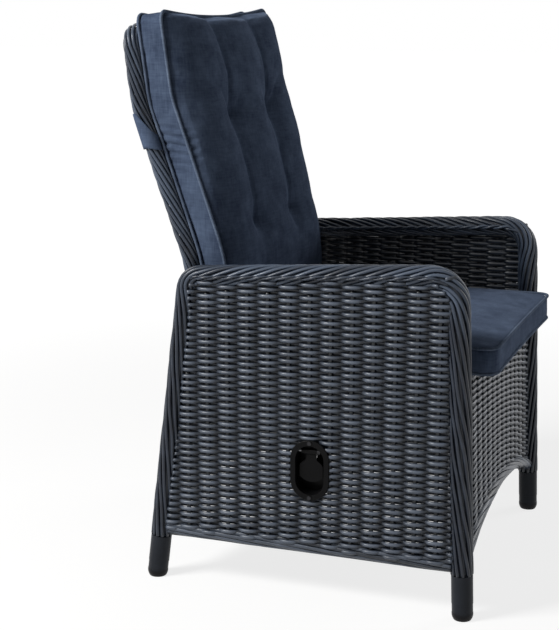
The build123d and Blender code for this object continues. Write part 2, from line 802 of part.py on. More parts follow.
# Fork on the back's lower tube, which pushes on the gas spring
gas_end_y = anchor_y + gas_length
gas_z = anchor_z
fork_gap = gas_eye_w / 2 + seat_gap
fork_half = fork_gap + cheek_t
with BuildPart() as gas_fork:
    with BuildSketch(Plane.YZ.offset(-fork_half)):
        with Locations((lower_tube_y, lower_tube_z)):
            Circle(cheek_r)
        with Locations((gas_end_y, gas_z)):
            Circle(cheek_r)
        make_hull()
        with Locations((gas_end_y, gas_z)):
            Circle(gas_pin_d / 2 + fit_gap, mode=Mode.SUBTRACT)
        with Locations((lower_tube_y, lower_tube_z)):
            Circle(back_tube_r + weld_gap, mode=Mode.SUBTRACT)
    extrude(amount=2 * fork_half)
    with BuildSketch(Plane.YZ.offset(-fork_gap)):
        with Locations((lower_tube_y - fork_block, gas_z)):
            Rectangle(gas_length, gas_length, align=(Align.MAX, Align.CENTER))
    extrude(amount=2 * fork_gap, mode=Mode.SUBTRACT)
finish(gas_fork, "gas_fork")

with BuildPart() as gas_pin:
    with BuildSketch(Plane.YZ.offset(-fork_half - seat_gap)):
        with Locations((gas_end_y, gas_z)):
            Circle(gas_pin_d / 2)
    extrude(amount=2 * (fork_half + seat_gap))
    for sign, side in sides:
        with BuildSketch(Plane.YZ.offset(sign * (fork_half + seat_gap))):
            with Locations((gas_end_y, gas_z)):
                Circle(pin_head_d / 2)
        extrude(amount=sign * pass_gap)
finish(gas_pin, "gas_pin")

# Gas spring: its rod stands in the release head, and its body slides on the rod
gas_plane = Plane(origin=(0, anchor_y, gas_z), x_dir=(1, 0, 0), z_dir=(0, 1, 0))
gas_stroke = 2 * gas_arm * sin(radians(recline_limit / 2))
body_start = head_rear + gas_stroke + gas_stroke_spare
body_end = gas_length - gas_neck
piston_start = body_start + gas_gland_h + seat_gap
with BuildPart() as gas_body:
    with BuildSketch(gas_plane.offset(body_start)):
        Circle(gas_body_d / 2)
    extrude(amount=body_end - body_start)
    with BuildSketch(gas_plane.offset(body_start + gas_gland_h)):
        Circle(gas_body_d / 2 - gas_body_wall)
    extrude(amount=body_end - body_start - gas_gland_h - gas_body_wall, mode=Mode.SUBTRACT)
    with BuildSketch(gas_plane.offset(body_start)):
        Circle(gas_rod_d / 2 + fit_gap)
    extrude(amount=gas_gland_h, mode=Mode.SUBTRACT)
    with BuildSketch(gas_plane.offset(body_end)):
        Circle(gas_neck_d / 2)
    extrude(amount=gas_neck)
    with BuildSketch(Plane.YZ.offset(-gas_eye_w / 2)):
        with Locations((gas_end_y, gas_z)):
            Circle(gas_eye_d / 2)
    extrude(amount=gas_eye_w)
    with BuildSketch(Plane.YZ.offset(-gas_eye_w / 2)):
        with Locations((gas_end_y, gas_z)):
            Circle(gas_pin_d / 2 + gas_pivot_play)
    extrude(amount=gas_eye_w, mode=Mode.SUBTRACT)
finish(gas_body, "gas_body")

with BuildPart() as gas_rod:
    with BuildSketch(gas_plane.offset(head_rear - gas_rod_d)):
        Circle(gas_rod_d / 2)
    extrude(amount=piston_start - head_rear + gas_rod_d)
    with BuildSketch(gas_plane.offset(piston_start)):
        Circle(gas_body_d / 2 - gas_body_wall - fit_gap)
    extrude(amount=gas_piston_h)
finish(gas_rod, "gas_rod")

# Release head: it hangs on the anchor pin and carries the release arm in a slot
release_y = anchor_y + release_pivot_y
release_z = gas_z - release_pivot_drop
head_half = head_w / 2
with BuildPart() as release_head:
    with BuildSketch(Plane.YZ.offset(-head_half)):
        with Locations((anchor_y, gas_z)):
            Circle(head_front)
        with Locations((release_y, release_z)):
            Circle(head_toe_r)
        with Locations((anchor_y + head_rear, gas_z)):
            Rectangle(head_rear, 2 * head_front, align=(Align.MAX, Align.CENTER))
        make_hull()
        with Locations((anchor_y, gas_z)):
            Circle(gas_pin_d / 2 + fit_gap, mode=Mode.SUBTRACT)
        with Locations((release_y, release_z)):
            Circle(release_pin_d / 2 + fit_gap, mode=Mode.SUBTRACT)
    extrude(amount=head_w)
    with BuildSketch(Plane.YZ.offset(-release_slot_w / 2)):
        with Locations((anchor_y + gas_pin_d / 2 + pass_gap, gas_z + pass_gap)):
            Rectangle(
                head_rear - gas_rod_d - gas_pin_d / 2 - 2 * pass_gap,
                gas_length,
                align=(Align.MIN, Align.MAX),
            )
    extrude(amount=release_slot_w, mode=Mode.SUBTRACT)
    lug_y = anchor_y + head_rear
    cable_z = release_z - release_arm_len
    with BuildSketch(Plane.XZ.offset(-lug_y)):
        with Locations((0, gas_z)):
            Rectangle(head_w, gas_z - cable_z + sheath_d, align=(Align.CENTER, Align.MAX))
    extrude(amount=stop_lug_t)
    with BuildSketch(Plane.XZ.offset(-lug_y - overrun)):
        with Locations((0, cable_z)):
            Circle(sheath_bore_d / 2 + fit_gap)
    extrude(amount=stop_lug_t + 2 * overrun, mode=Mode.SUBTRACT)
    with BuildSketch(Plane.XZ.offset(-lug_y)):
        with Locations((0, cable_z)):
            Circle(sheath_d / 2 + sheath_play)
    extrude(amount=sheath_seat, mode=Mode.SUBTRACT)
    with BuildSketch(gas_plane.offset(head_rear - gas_rod_d - seat_gap)):
        Circle(gas_rod_d / 2 + fit_gap)
    extrude(amount=2 * gas_rod_d, mode=Mode.SUBTRACT)
finish(release_head, "release_head")

with BuildPart() as release_arm:
    with BuildSketch(Plane.YZ.offset(-release_arm_t / 2)):
        with Locations((release_y, release_z)):
            Circle(release_pin_d)
        with Locations((release_y, cable_z)):
            Circle(release_tip_r)
        make_hull()
        with Locations((release_y, release_z)):
            Circle(release_pin_d / 2 + fit_gap, mode=Mode.SUBTRACT)
    extrude(amount=release_arm_t)
    with BuildSketch(Plane.XZ.offset(-release_y - gas_length / 2)):
        with Locations((0, cable_z)):
            Circle(wire_d / 2 + seat_gap)
    extrude(amount=gas_length, mode=Mode.SUBTRACT)
finish(release_arm, "release_arm")

with BuildPart() as release_pin:
    with BuildSketch(Plane.YZ.offset(-head_half)):
        with Locations((release_y, release_z)):
            Circle(release_pin_d / 2)
    extrude(amount=head_w)
finish(release_pin, "release_pin")

# Anchor: a folded bracket under the seat's middle rail, and its pin
anchor_in = head_half + seat_gap
with BuildPart() as anchor_bracket:
    with BuildSketch(Plane.YZ.offset(-anchor_w / 2)):
        with Locations((anchor_y, gas_z)):
            Circle(cheek_r)
        with Locations((anchor_y, seat_top_z - seat_rail)):
            Rectangle(2 * cheek_r, cheek_r, align=(Align.CENTER, Align.MAX))
        make_hull()
        with Locations((anchor_y, gas_z)):
            Circle(gas_pin_d / 2 + fit_gap, mode=Mode.SUBTRACT)
    extrude(amount=anchor_w)
    with BuildSketch(Plane.YZ.offset(-anchor_in)):
        with Locations((anchor_y, seat_top_z - seat_rail - cheek_t)):
            Rectangle(gas_length, gas_length, align=(Align.CENTER, Align.MAX))
    extrude(amount=2 * anchor_in, mode=Mode.SUBTRACT)
finish(anchor_bracket, "anchor_bracket")

with BuildPart() as anchor_pin:
    with BuildSketch(Plane.YZ.offset(-anchor_w / 2 - seat_gap)):
        with Locations((anchor_y, gas_z)):
            Circle(gas_pin_d / 2)
    extrude(amount=anchor_w + 2 * seat_gap)
    for sign, side in sides:
        with BuildSketch(Plane.YZ.offset(sign * (anchor_w / 2 + seat_gap))):
            with Locations((anchor_y, gas_z)):
                Circle(pin_head_d / 2)
        extrude(amount=sign * pass_gap)
finish(anchor_pin, "anchor_pin")

# Lever housing: an oval flange on the weave, a pocket behind it, and the cable stop
pocket_floor_x = -weave_out + pocket_depth
lever_x = -weave_out + lever_axis_in
cable_x = lever_x + lever_arm_len
stop_z = lever_axis_z + stop_h
lever_arm_drop = lever_arm_len * sin(radians(lever_limit))
screw_pitch = (flange_h + pocket_h - 2 * pocket_wall) / 2
with BuildPart() as lever_housing:
    with BuildSketch(Plane.YZ.offset(-weave_out)):
        with Locations((lever_y, lever_z)):
            SlotOverall(flange_h, flange_w, rotation=90)
    extrude(amount=-flange_t)
    fillet(faces().sort_by(Axis.X)[0].edges(), flange_t / 2)
    with BuildSketch(Plane.YZ.offset(-weave_out)):
        with Locations((lever_y, lever_z)):
            SlotOverall(pocket_h, pocket_w, rotation=90)
    extrude(amount=pocket_depth)
    with BuildSketch(Plane.YZ.offset(pocket_floor_x - pocket_wall)):
        with Locations((lever_y, stop_z)):
            Rectangle(stop_w, stop_z - lever_z, align=(Align.CENTER, Align.MAX))
    extrude(amount=pocket_wall)
    with BuildSketch(Plane.XY.offset(stop_z)):
        with Locations((pocket_floor_x - pocket_wall, lever_y)):
            Rectangle(stop_shelf + pocket_wall, stop_w, align=(Align.MIN, Align.CENTER))
    extrude(amount=-stop_shelf_t)
    with BuildSketch(Plane.YZ.offset(pocket_floor_x - pocket_wall)):
        with Locations((lever_y, lever_z)):
            SlotOverall(pocket_h - 2 * pocket_wall, pocket_w - 2 * pocket_wall, rotation=90)
    extrude(amount=-pocket_depth - flange_t, mode=Mode.SUBTRACT)
    with BuildSketch(Plane.YZ.offset(pocket_floor_x + pass_gap)):
        with Locations((lever_y, lever_axis_z + lever_arm_h)):
            Rectangle(cable_slot_w, 2 * lever_arm_h + lever_arm_drop, align=(Align.CENTER, Align.MAX))
    extrude(amount=-2 * pocket_wall, mode=Mode.SUBTRACT)
    with BuildSketch(Plane.XY.offset(stop_z + overrun)):
        with Locations((cable_x, lever_y)):
            Circle(sheath_bore_d / 2 + fit_gap)
    extrude(amount=-stop_shelf_t - 2 * overrun, mode=Mode.SUBTRACT)
    with BuildSketch(Plane.XY.offset(stop_z)):
        with Locations((cable_x, lever_y)):
            Circle(sheath_d / 2 + fit_gap)
    extrude(amount=-sheath_seat, mode=Mode.SUBTRACT)
    with BuildSketch(Plane.XZ.offset(-lever_y - pocket_w)):
        with Locations((lever_x, lever_axis_z)):
            Circle(lever_pin_d / 2 + fit_gap)
    extrude(amount=2 * pocket_w, mode=Mode.SUBTRACT)
    with BuildSketch(Plane.YZ.offset(-weave_out - flange_t - overrun)):
        with Locations((lever_y, lever_z)):
            with GridLocations(0, screw_pitch, 1, 2):
                Circle(housing_screw_d / 2 + fit_gap)
    extrude(amount=2 * pocket_depth, mode=Mode.SUBTRACT)
finish(lever_housing, "lever_housing")

with BuildPart() as housing_screws:
    with BuildSketch(Plane.YZ.offset(-weave_out - flange_t)):
        with Locations((lever_y, lever_z)):
            with GridLocations(0, screw_pitch, 1, 2):
                Circle(housing_screw_d / 2)
    extrude(amount=flange_t - seat_gap)
    with BuildSketch(Plane.YZ.offset(-weave_out - flange_t)):
        with Locations((lever_y, lever_z)):
            with GridLocations(0, screw_pitch, 1, 2):
                Circle(housing_screw_head_d / 2)
    extrude(amount=-housing_screw_d / 2)
finish(housing_screws, "housing_screws")

inner_slot_r = pocket_w / 2 - pocket_wall
inner_slot_top = lever_z + pocket_h / 2 - pocket_wall
axis_above = lever_axis_z - (inner_slot_top - inner_slot_r)
hub_half = sqrt(inner_slot_r**2 - (axis_above + lever_hub_d / 2) ** 2) - seat_gap
pin_half = sqrt((pocket_w / 2) ** 2 - (axis_above + lever_pin_d / 2) ** 2) - seat_gap
with BuildPart() as lever_axle:
    with BuildSketch(Plane.XZ.offset(-lever_y - pin_half)):
        with Locations((lever_x, lever_axis_z)):
            Circle(lever_pin_d / 2)
    extrude(amount=2 * pin_half)
finish(lever_axle, "lever_axle")

# Lever: a hub, a neck that widens into the finger paddle, and the arm that pulls the cable
with BuildPart() as lever_paddle:
    with BuildSketch(Plane.XZ.offset(-lever_y - hub_half)):
        with Locations((lever_x, lever_axis_z)):
            Circle(lever_hub_d / 2)
    extrude(amount=2 * hub_half - lever_spring_w)
    with BuildSketch(Plane.YZ.offset(lever_x - lever_t / 2)):
        with BuildLine():
            Polyline(
                (lever_y - neck_w / 2, lever_axis_z),
                (lever_y - neck_w / 2, paddle_top_z + neck_w / 2),
            )
            Line((lever_y - neck_w / 2, lever_axis_z), (lever_y + neck_w / 2, lever_axis_z))
            Line((lever_y + neck_w / 2, lever_axis_z), (lever_y + neck_w / 2, paddle_top_z + neck_w / 2))
            Spline(
                (lever_y + neck_w / 2, paddle_top_z + neck_w / 2),
                (lever_y + paddle_w / 2, paddle_top_z - neck_w / 2),
                tangents=[(0, -1), (0, -1)],
            )
            Spline(
                (lever_y - neck_w / 2, paddle_top_z + neck_w / 2),
                (lever_y - paddle_w / 2, paddle_top_z - neck_w / 2),
                tangents=[(0, -1), (0, -1)],
            )
            Line(
                (lever_y + paddle_w / 2, paddle_top_z - neck_w / 2),
                (lever_y + paddle_w / 2, paddle_low_z + neck_w / 2),
            )
            Line(
                (lever_y - paddle_w / 2, paddle_top_z - neck_w / 2),
                (lever_y - paddle_w / 2, paddle_low_z + neck_w / 2),
            )
            ThreePointArc(
                (lever_y - paddle_w / 2, paddle_low_z + neck_w / 2),
                (lever_y, paddle_low_z),
                (lever_y + paddle_w / 2, paddle_low_z + neck_w / 2),
            )
        make_face()
    extrude(amount=lever_t)
    with BuildSketch(Plane.XZ.offset(-lever_y - lever_arm_t / 2)):
        with Locations((lever_x, lever_axis_z)):
            Rectangle(lever_arm_len, lever_arm_h, align=(Align.MIN, Align.CENTER))
        with Locations((cable_x, lever_axis_z)):
            Circle(lever_arm_h / 2)
    extrude(amount=lever_arm_t)
    with BuildSketch(Plane.XZ.offset(-lever_y - pocket_w)):
        with Locations((lever_x, lever_axis_z)):
            Circle(lever_pin_d / 2 + fit_gap)
    extrude(amount=2 * pocket_w, mode=Mode.SUBTRACT)
    with BuildSketch(Plane.XY.offset(lever_axis_z + lever_hub_d)):
        with Locations((cable_x, lever_y)):
            Circle(wire_d / 2 + seat_gap)
    extrude(amount=-2 * lever_hub_d, mode=Mode.SUBTRACT)
finish(lever_paddle, "lever_paddle")

with BuildPart() as lever_spring:
    with BuildSketch(Plane.XZ.offset(-lever_y + hub_half - lever_spring_w + seat_gap)):
        with Locations((lever_x, lever_axis_z)):
            Circle(lever_hub_d / 2 - seat_gap)
            Circle(lever_pin_d / 2 + seat_gap, mode=Mode.SUBTRACT)
    extrude(amount=lever_spring_w - seat_gap)
finish(lever_spring, "lever_spring")

# Bowden cable: from the stop on the lever housing, under the seat, to the release head
sheath_start = (cable_x, lever_y, stop_z - sheath_seat)
sheath_end = (0, lug_y - sheath_seat, cable_z)
cable_corners = (
    (cable_x, lever_y, cable_high_z),
    (-120, 25, 350),
    (0, 8, cable_z),
)
with BuildPart() as cable_sheath:
    with BuildLine() as sheath_line:
        FilletPolyline(sheath_start, *cable_corners, sheath_end, radius=list(cable_bends))
    with BuildSketch(sheath_line.line ^ 0):
        Circle(sheath_d / 2)
        Circle(sheath_bore_d / 2, mode=Mode.SUBTRACT)
    sweep()
finish(cable_sheath, "cable_sheath")

nipple_top = lever_axis_z - lever_arm_h / 2 - seat_gap
wire_end_y = release_y - nipple_d - nipple_h
with BuildPart() as inner_cable:
    with BuildLine() as wire_line:
        FilletPolyline(
            (cable_x, lever_y, nipple_top - nipple_h / 2),
            *cable_corners,
            (0, wire_end_y, cable_z),
            radius=list(cable_bends),
        )
    with BuildSketch(wire_line.line ^ 0):
        Circle(wire_d / 2)
    sweep()
    with BuildSketch(Plane.XY.offset(nipple_top)):
        with Locations((cable_x, lever_y)):
            Circle(nipple_d / 2)
    extrude(amount=-nipple_h)
    with BuildSketch(Plane.XZ.offset(-wire_end_y)):
        with Locations((0, cable_z)):
            Circle(nipple_d / 2)
    extrude(amount=nipple_h)
finish(inner_cable, "inner_cable")

# Seat cushion: crowned, with sides that draw in between its corners and a rounded nose
cushion_low_z = webbing_top + seat_gap
seat_cushion_len = seat_cushion_rear_y - seat_cushion_front_y
# Each row: place along the depth, half width, rise of the lower edge, fall of the upper edge, crown
seat_row_shares = (
    (0.0, 0.945, 0.16, 0.14, 0.15),
    (0.022, 1.0, 0.03, 0.02, 0.40),
    (0.18, 0.992, 0.0, 0.0, 0.78),
    (0.52, 0.985, 0.0, 0.0, 1.0),
    (0.84, 0.992, 0.0, 0.0, 0.78),
    (0.985, 1.0, 0.03, 0.02, 0.40),
    (1.0, 0.975, 0.16, 0.14, 0.20),
)
with BuildPart() as seat_cushion:
    for place, width, rise, fall, crown in seat_row_shares:
        row_y = seat_cushion_front_y + place * seat_cushion_len
        half = cushion_half * width
        low = cushion_low_z + rise * seat_cushion_t
        high = cushion_low_z + (1 - fall) * seat_cushion_t
        with BuildSketch(Plane.XZ.offset(-row_y)):
            with BuildLine():
                Line((-half, low), (half, low))
                ThreePointArc((half, low), (half + side_bulge, (low + high) / 2), (half, high))
                ThreePointArc((half, high), (0, high + crown * seat_crown), (-half, high))
                ThreePointArc((-half, high), (-half - side_bulge, (low + high) / 2), (-half, low))
            make_face()
    loft()
    split(bisect_by=Plane.XY.offset(cushion_low_z), keep=Keep.TOP)
finish(seat_cushion, "seat_cushion")

# Back cushion: three upright bulges between two columns of tufts, on the S of the frame
tilt = atan2(back_shoulder_y - back_waist_y, back_shoulder_z - back_waist_z)
cushion_rear = back_wrap_r / cos(tilt) + back_cushion_gap
cushion_depth = boxing_t / cos(tilt)
below_tufts = (back_cushion_low_z, tuft_low_z)
between_tufts = (tuft_low_z, tuft_high_z)
above_tufts = (tuft_high_z, back_cushion_top_z)
# Each row: zone, place in it, half width, depth, crown and the valley between the bulges
back_row_shares = (
    (below_tufts, 0.0, 0.975, 0.80, 0.10, 0.06),
    (below_tufts, 0.16, 1.0, 0.98, 0.28, 0.24),
    (below_tufts, 0.60, 0.99, 1.0, 0.50, 0.36),
    (between_tufts, 0.0, 0.985, 1.0, 0.64, 0.20),
    (between_tufts, 0.5, 0.975, 1.0, 0.88, 0.48),
    (above_tufts, 0.0, 0.98, 1.0, 0.98, 0.52),
    (above_tufts, 0.45, 0.985, 0.94, 0.92, 0.70),
    (above_tufts, 0.82, 0.995, 0.80, 0.62, 0.54),
    (above_tufts, 0.95, 1.0, 0.72, 0.30, 0.26),
    (above_tufts, 1.0, 0.985, 0.50, 0.10, 0.08),
)
with BuildPart() as back_cushion:
    for (zone_low, zone_high), place, width, depth, crown, valley in back_row_shares:
        row_z = zone_low + place * (zone_high - zone_low)
        half = cushion_half * width
        rear = back_y(row_z) - cushion_rear - (1 - depth) * boxing_t * rear_slack_share
        front = rear - cushion_depth * depth
        valley_y = front - valley * back_crown
        crown_y = front - crown * back_crown
        outer_x = (half + tuft_x) / 2
        outer_y = (crown_y * 2 + front) / 3
        with BuildSketch(Plane.XY.offset(row_z)):
            with BuildLine():
                Line((half, rear), (-half, rear))
                ThreePointArc((-half, rear), (-half - side_bulge, (rear + front) / 2), (-half, front))
                ThreePointArc((-half, front), (-outer_x, outer_y), (-tuft_x, valley_y))
                ThreePointArc((-tuft_x, valley_y), (0, crown_y), (tuft_x, valley_y))
                ThreePointArc((tuft_x, valley_y), (outer_x, outer_y), (half, front))
                ThreePointArc((half, front), (half + side_bulge, (rear + front) / 2), (half, rear))
            make_face()
    loft()
finish(back_cushion, "back_cushion")

# Strap: a band of the cushion's cloth round the sides and the rear of the back frame
strap_inner_r = back_wrap_r + seat_gap
strap_plane = Plane(
    origin=(0, back_y(hold_strap_z), hold_strap_z),
    x_dir=(1, 0, 0),
    z_dir=(0, back_shoulder_y - back_waist_y, back_shoulder_z - back_waist_z),
)
with BuildPart() as cushion_strap:
    with BuildSketch(strap_plane.offset(-hold_strap_w / 2)):
        SlotCenterToCenter(2 * back_x, 2 * (strap_inner_r + hold_strap_t))
        SlotCenterToCenter(2 * back_x, 2 * strap_inner_r, mode=Mode.SUBTRACT)
        Rectangle(4 * back_x, 4 * strap_inner_r, align=(Align.CENTER, Align.MAX), mode=Mode.SUBTRACT)
        with Locations(
            (-back_x - strap_inner_r - hold_strap_t / 2, 0),
            (back_x + strap_inner_r + hold_strap_t / 2, 0),
        ):
            Rectangle(hold_strap_t, strap_inner_r, align=(Align.CENTER, Align.MAX))
    extrude(amount=hold_strap_w)
finish(cushion_strap, "cushion_strap")
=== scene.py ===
"""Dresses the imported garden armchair: strands, braids, padded cushions, materials and studio."""

import json
import math

import bpy
import numpy as np
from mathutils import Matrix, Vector


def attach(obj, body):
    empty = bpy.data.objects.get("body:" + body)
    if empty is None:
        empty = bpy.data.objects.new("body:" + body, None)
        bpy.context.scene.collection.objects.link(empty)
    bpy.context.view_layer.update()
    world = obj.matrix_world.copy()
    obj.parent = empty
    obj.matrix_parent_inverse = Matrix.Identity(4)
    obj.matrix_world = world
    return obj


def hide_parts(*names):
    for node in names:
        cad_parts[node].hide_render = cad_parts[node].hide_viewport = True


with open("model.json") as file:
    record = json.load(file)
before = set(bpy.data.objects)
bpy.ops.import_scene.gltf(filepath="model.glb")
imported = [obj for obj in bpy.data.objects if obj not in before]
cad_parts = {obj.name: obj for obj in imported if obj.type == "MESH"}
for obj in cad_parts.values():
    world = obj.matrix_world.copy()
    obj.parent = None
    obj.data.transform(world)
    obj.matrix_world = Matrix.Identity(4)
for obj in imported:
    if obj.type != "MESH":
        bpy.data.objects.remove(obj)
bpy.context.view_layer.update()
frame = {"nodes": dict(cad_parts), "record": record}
random = np.random.default_rng(seed=11)

# Camera of the photograph
CAMERA_PLACE = (-2.675, -0.833, 1.072)
CAMERA_YAW = 20.26
CAMERA_PITCH = 12.18
CAMERA_FOCAL_PIXELS = 1442.0
PHOTO_HEIGHT = 630
SENSOR = 36.0
CAMERA_CLIP = (0.05, 60.0)

# Side frames, as in the part: Y and Z of the tube's centre line
SIDE_X = 0.310
WEAVE_X = 0.323
FRONT_FOOT_Y = -0.308
REAR_FOOT_Y = 0.290
ARM_FRONT = (-0.285, 0.619)
ARM_REAR = (0.216, 0.588)
ARM_FRONT_BEND = 0.050
ARM_REAR_BEND = 0.027
WRAP_R = 0.0205
WRAP_LOW_Z = 0.0845
BOTTOM_RAIL_Z = 0.104
BOTTOM_ROLL_R = 0.0168
ARCH_END = 0.097
ARCH_RISE = 0.065
SEAT_TOP_Z = 0.430
REAR_RAIL_Z = 0.352

# Back frame: Y and Z of its S
BACK_X = 0.265
BACK_POINTS = ((0.212, 0.400), (0.224, 0.600), (0.327, 0.890), (0.344, 1.022))
BACK_BEND = 0.240
BACK_CORNER = 0.028
BACK_WRAP_R = 0.013
BACK_WRAP_LOW_Z = 0.545
BACK_BRAID_R = 0.0155
BACK_BRAID_SHIFT = 0.0025
BACK_LOW_TUBE_Z = 0.424
BACK_OVERRUN = 0.060

# Strands of the weave
STAKE_PITCH = 0.0395
SIDE_STAKE_Y = -0.021
APRON_PITCH = 0.0425
ROW_PITCH = 0.0061
ROW_RISE = 0.012
STRAND_W = 0.0085
STRAND_LEAN = 0.36
STRAND_T = 0.0046
STAKE_W = 0.0085
STAKE_T = 0.0050
SIDE_SWING = 0.0048
APRON_SWING = 0.0034
BACK_SWING = 0.0030

# Sides of a strand's section in the rows, and in braids and rolls
ROW_SIDES = 6
BRAID_SIDES = 8

# A row of the weave: points to a pitch, the least points of a row and of a stake, how sharply it
# turns at a stake, how much longer it stays behind than before the stakes, and how far it wanders
# up and leans by chance
ROW_STEPS = 10
LEAST_ROW, LEAST_STAKE = 4, 3
TURN_SHARPNESS = 2.2
BEHIND_BIAS = 0.3
ROW_DRIFT = 0.0003
CHANCE_LEAN = 0.10

# A strand's width in a row: shares where it crosses over, loses before and gains behind a stake
CROSSING_WIDTH = 0.80
BEFORE_LOSS = 0.13
BEHIND_GAIN = 0.24
ROW_WIDTHS = (0.96, 1.03)

# A row's painted shade, darker behind the stakes: how far back it starts to darken, over what sway, how
# fast; and the random shares of its colour
SHADE_START = 0.45
SHADE_SPAN = 1.1
SHADE_POWER = 1.5
ROW_TONES = (0.55, 1.0)

# Points up a stake, its value on the stakes' near-black painted-shade colour, and the stakes' numbers from
# the one in the middle
STAKE_POINTS = 60
STAKE_SHADE = 0.3
SIDE_STAKES = np.arange(-7, 8)
MIDDLE_STAKES = np.arange(-6, 7)

# Side rows: their span in Y, how far they start below the rail and reach over its middle, how
# near to the tubes' centre lines they run beside the legs and under the arm, and between which heights
SIDE_SPAN = (-0.31, 0.30)
PANEL_PATH_LOW_Z = 0.06
RAIL_DROP = 0.002
ROWS_BELOW = 0.004
LEG_REACH = 0.0125
ARM_REACH = 0.0075
REACH_HEIGHTS = (0.50, 0.57)

# Where a side row meets a tube: it rises onto the tube over a run, or tucks into the legs' braid
RIDE_LIFT = 0.0032
RIDE_START = 0.003
RIDE_RUN = 0.009
END_TUCK = 0.0055
TUCK_RUN = 0.004
TUCK_TOP_Z = 0.56
TUCK_FADE = 0.04
STAKE_CLEARANCE = 0.001

# The roll along a side panel's lower edge: points, height at which it meets the legs, reach in
ROLL_POINTS = 140
ROLL_END_Z = 0.1
ROLL_END_IN = 0.016

# Aprons: how far they tuck behind the legs and sit above the arch, where their rows begin, points
# along their rolls, and how far the front's upper cord lies below its top
APRON_TUCK = 0.008
ARCH_LIFT = 0.004
APRON_LOW_Z = 0.130
ARCH_POINTS = 120
TOP_CORD_DROP = 0.004

# Back panel: step up its S, how far it tucks in beside and under the wrapped tube, rim's points
PANEL_STEP = 0.002
BACK_TUCK = 0.005
BACK_TOP_TUCK = 0.006
RIM_POINTS = 90

# Braids, rolls and cords: radius to the strands' middles, their number, the length of a turn,
# and a strand's width and thickness
ARM_BRAID = dict(radius=WRAP_R - 0.0031, count=12, width=0.0070, thickness=0.0062)
ARM_EDGE = dict(radius=0.0023, count=2, lead=0.052, width=0.0054, thickness=0.0046, wobble=0.02)
SIDE_ROLL = dict(radius=BOTTOM_ROLL_R - 0.0026, count=11, lead=1.4, width=0.0078, thickness=0.0052)
ARCH_ROLL = dict(radius=0.0100, count=7, lead=0.36, width=0.0090, thickness=0.0030)
REAR_TOP_ROLL = dict(radius=0.0118, count=8, lead=0.30, width=0.0092, thickness=0.0030)
FRONT_TOP_CORD = dict(radius=0.0026, count=2, lead=0.05, width=0.0058, thickness=0.0040)
BACK_RIM = dict(radius=0.0030, count=2, lead=0.05, width=0.0060, thickness=0.0040)
BACK_BRAID = dict(radius=BACK_BRAID_R - 0.0028, count=10, lead=0.30, width=0.0066,
                  thickness=0.0056, sign=-1.0, wobble=0.06)

# How unevenly the strands of a braid lie: shares and waves to the metre of their wander, lift with
# its waves, widths; and the span of a wave's random start
WANDER_SHARES = (0.4, 1.0)
WANDER_WAVES = (18, 60)
STRAND_LIFT = 0.0004
LIFT_WAVES = (30, 50)
BRAID_WIDTHS = (0.94, 1.04)
DRIFT_WAVES = (20, 50)
LEAN_WAVES = (30, 70)
WAVE_STARTS = (0, 6.28)

# Arm braid: step, length of a turn on the legs and how much shorter it is on the arm, where it
# changes, and the edge cords' lowest height, ends, fade in points, height and tuck
ARM_STEP = 0.006
LEG_LEAD = 0.72
LEAD_DROP = 0.407
ARM_CHANGE_Z = 0.50
ARM_CHANGE_RUN = 0.08
EDGE_LOW_Z = 0.565
EDGE_FRONT_IN = 0.012
EDGE_REAR_IN = 0.010
EDGE_FADE = 4
EDGE_PROUD = 0.0018
EDGE_TUCK = 0.006

BACK_BRAID_STEP = 0.005
BACK_STEP = 0.003

# Lamps (name, place, target, size, power and colour) and the strength of the world's light
LAMPS = (
    ("key", (-2.26, 2.15, 2.79), (0.0, 0.0, 0.45), 1.1, 142.0, (1.0, 0.99, 0.97)),
    ("fill", (2.50, -2.30, 1.50), (0.0, 0.0, 0.45), 1.4, 25.0, (1.0, 1.0, 1.0)),
)
WORLD_LIGHT = 0.06

# Lever's opening in the right side
LEVER_Y = -0.025
LEVER_Z = 0.250
LEVER_HOLE = (0.064, 0.102)

# Height and width of the strap round the back's frame
STRAP_Z = 0.848
STRAP_W = 0.066

# Arcs have at least so many steps, and are so many times finer than straight runs
ARC_STEPS = 4
ARC_FINENESS = 3
TINY = 1e-9


def unit(v):
    return v / np.linalg.norm(v, axis=-1, keepdims=True)


def everywhere(direction, points):
    """One direction for each of the points."""
    return np.broadcast_to(np.asarray(direction, float), points.shape)


def distances(line):
    """Distance of each point of a line from its start."""
    return np.concatenate(([0.0], np.cumsum(np.linalg.norm(np.diff(line, axis=0), axis=1))))


def columns_at(where, places, table):
    """What each column of a table has between its rows' places."""
    return [np.interp(where, places, column) for column in table.T]


def resample(points, step):
    """Points a steady step apart along a line of points."""
    runs = np.linalg.norm(np.diff(points, axis=0), axis=1)
    points = points[np.concatenate(([True], runs > TINY))]
    at = distances(points)
    count = max(2, int(round(at[-1] / step)) + 1)
    where = np.linspace(0.0, at[-1], count)
    return np.stack(columns_at(where, at, points), axis=1)


def rounded_path(corners, radii, step):
    """Straight runs joined by arcs, as points about a step apart."""
    corners = [np.array(c, float) for c in corners]
    points = [corners[0]]
    for before, corner, after, radius in zip(corners, corners[1:], corners[2:], radii):
        a, b = unit(before - corner), unit(after - corner)
        turn = math.pi - math.acos(float(np.dot(a, b)))
        reach = radius * math.tan(turn / 2)
        centre = corner + unit(a + b) * radius / math.cos(turn / 2)
        start, end = corner + a * reach - centre, corner + b * reach - centre
        steps = max(ARC_STEPS, int(ARC_FINENESS * radius * turn / step))
        for k in range(steps + 1):
            angle = turn * k / steps
            spoke = (start * math.sin(turn - angle) + end * math.sin(angle)) / math.sin(turn)
            points.append(centre + spoke)
    points.append(corners[-1])
    return resample(np.array(points), step)


def front_leg_y(z):
    return FRONT_FOOT_Y + (ARM_FRONT[0] - FRONT_FOOT_Y) * z / ARM_FRONT[1]


def rear_leg_y(z):
    return REAR_FOOT_Y + (ARM_REAR[0] - REAR_FOOT_Y) * z / ARM_REAR[1]


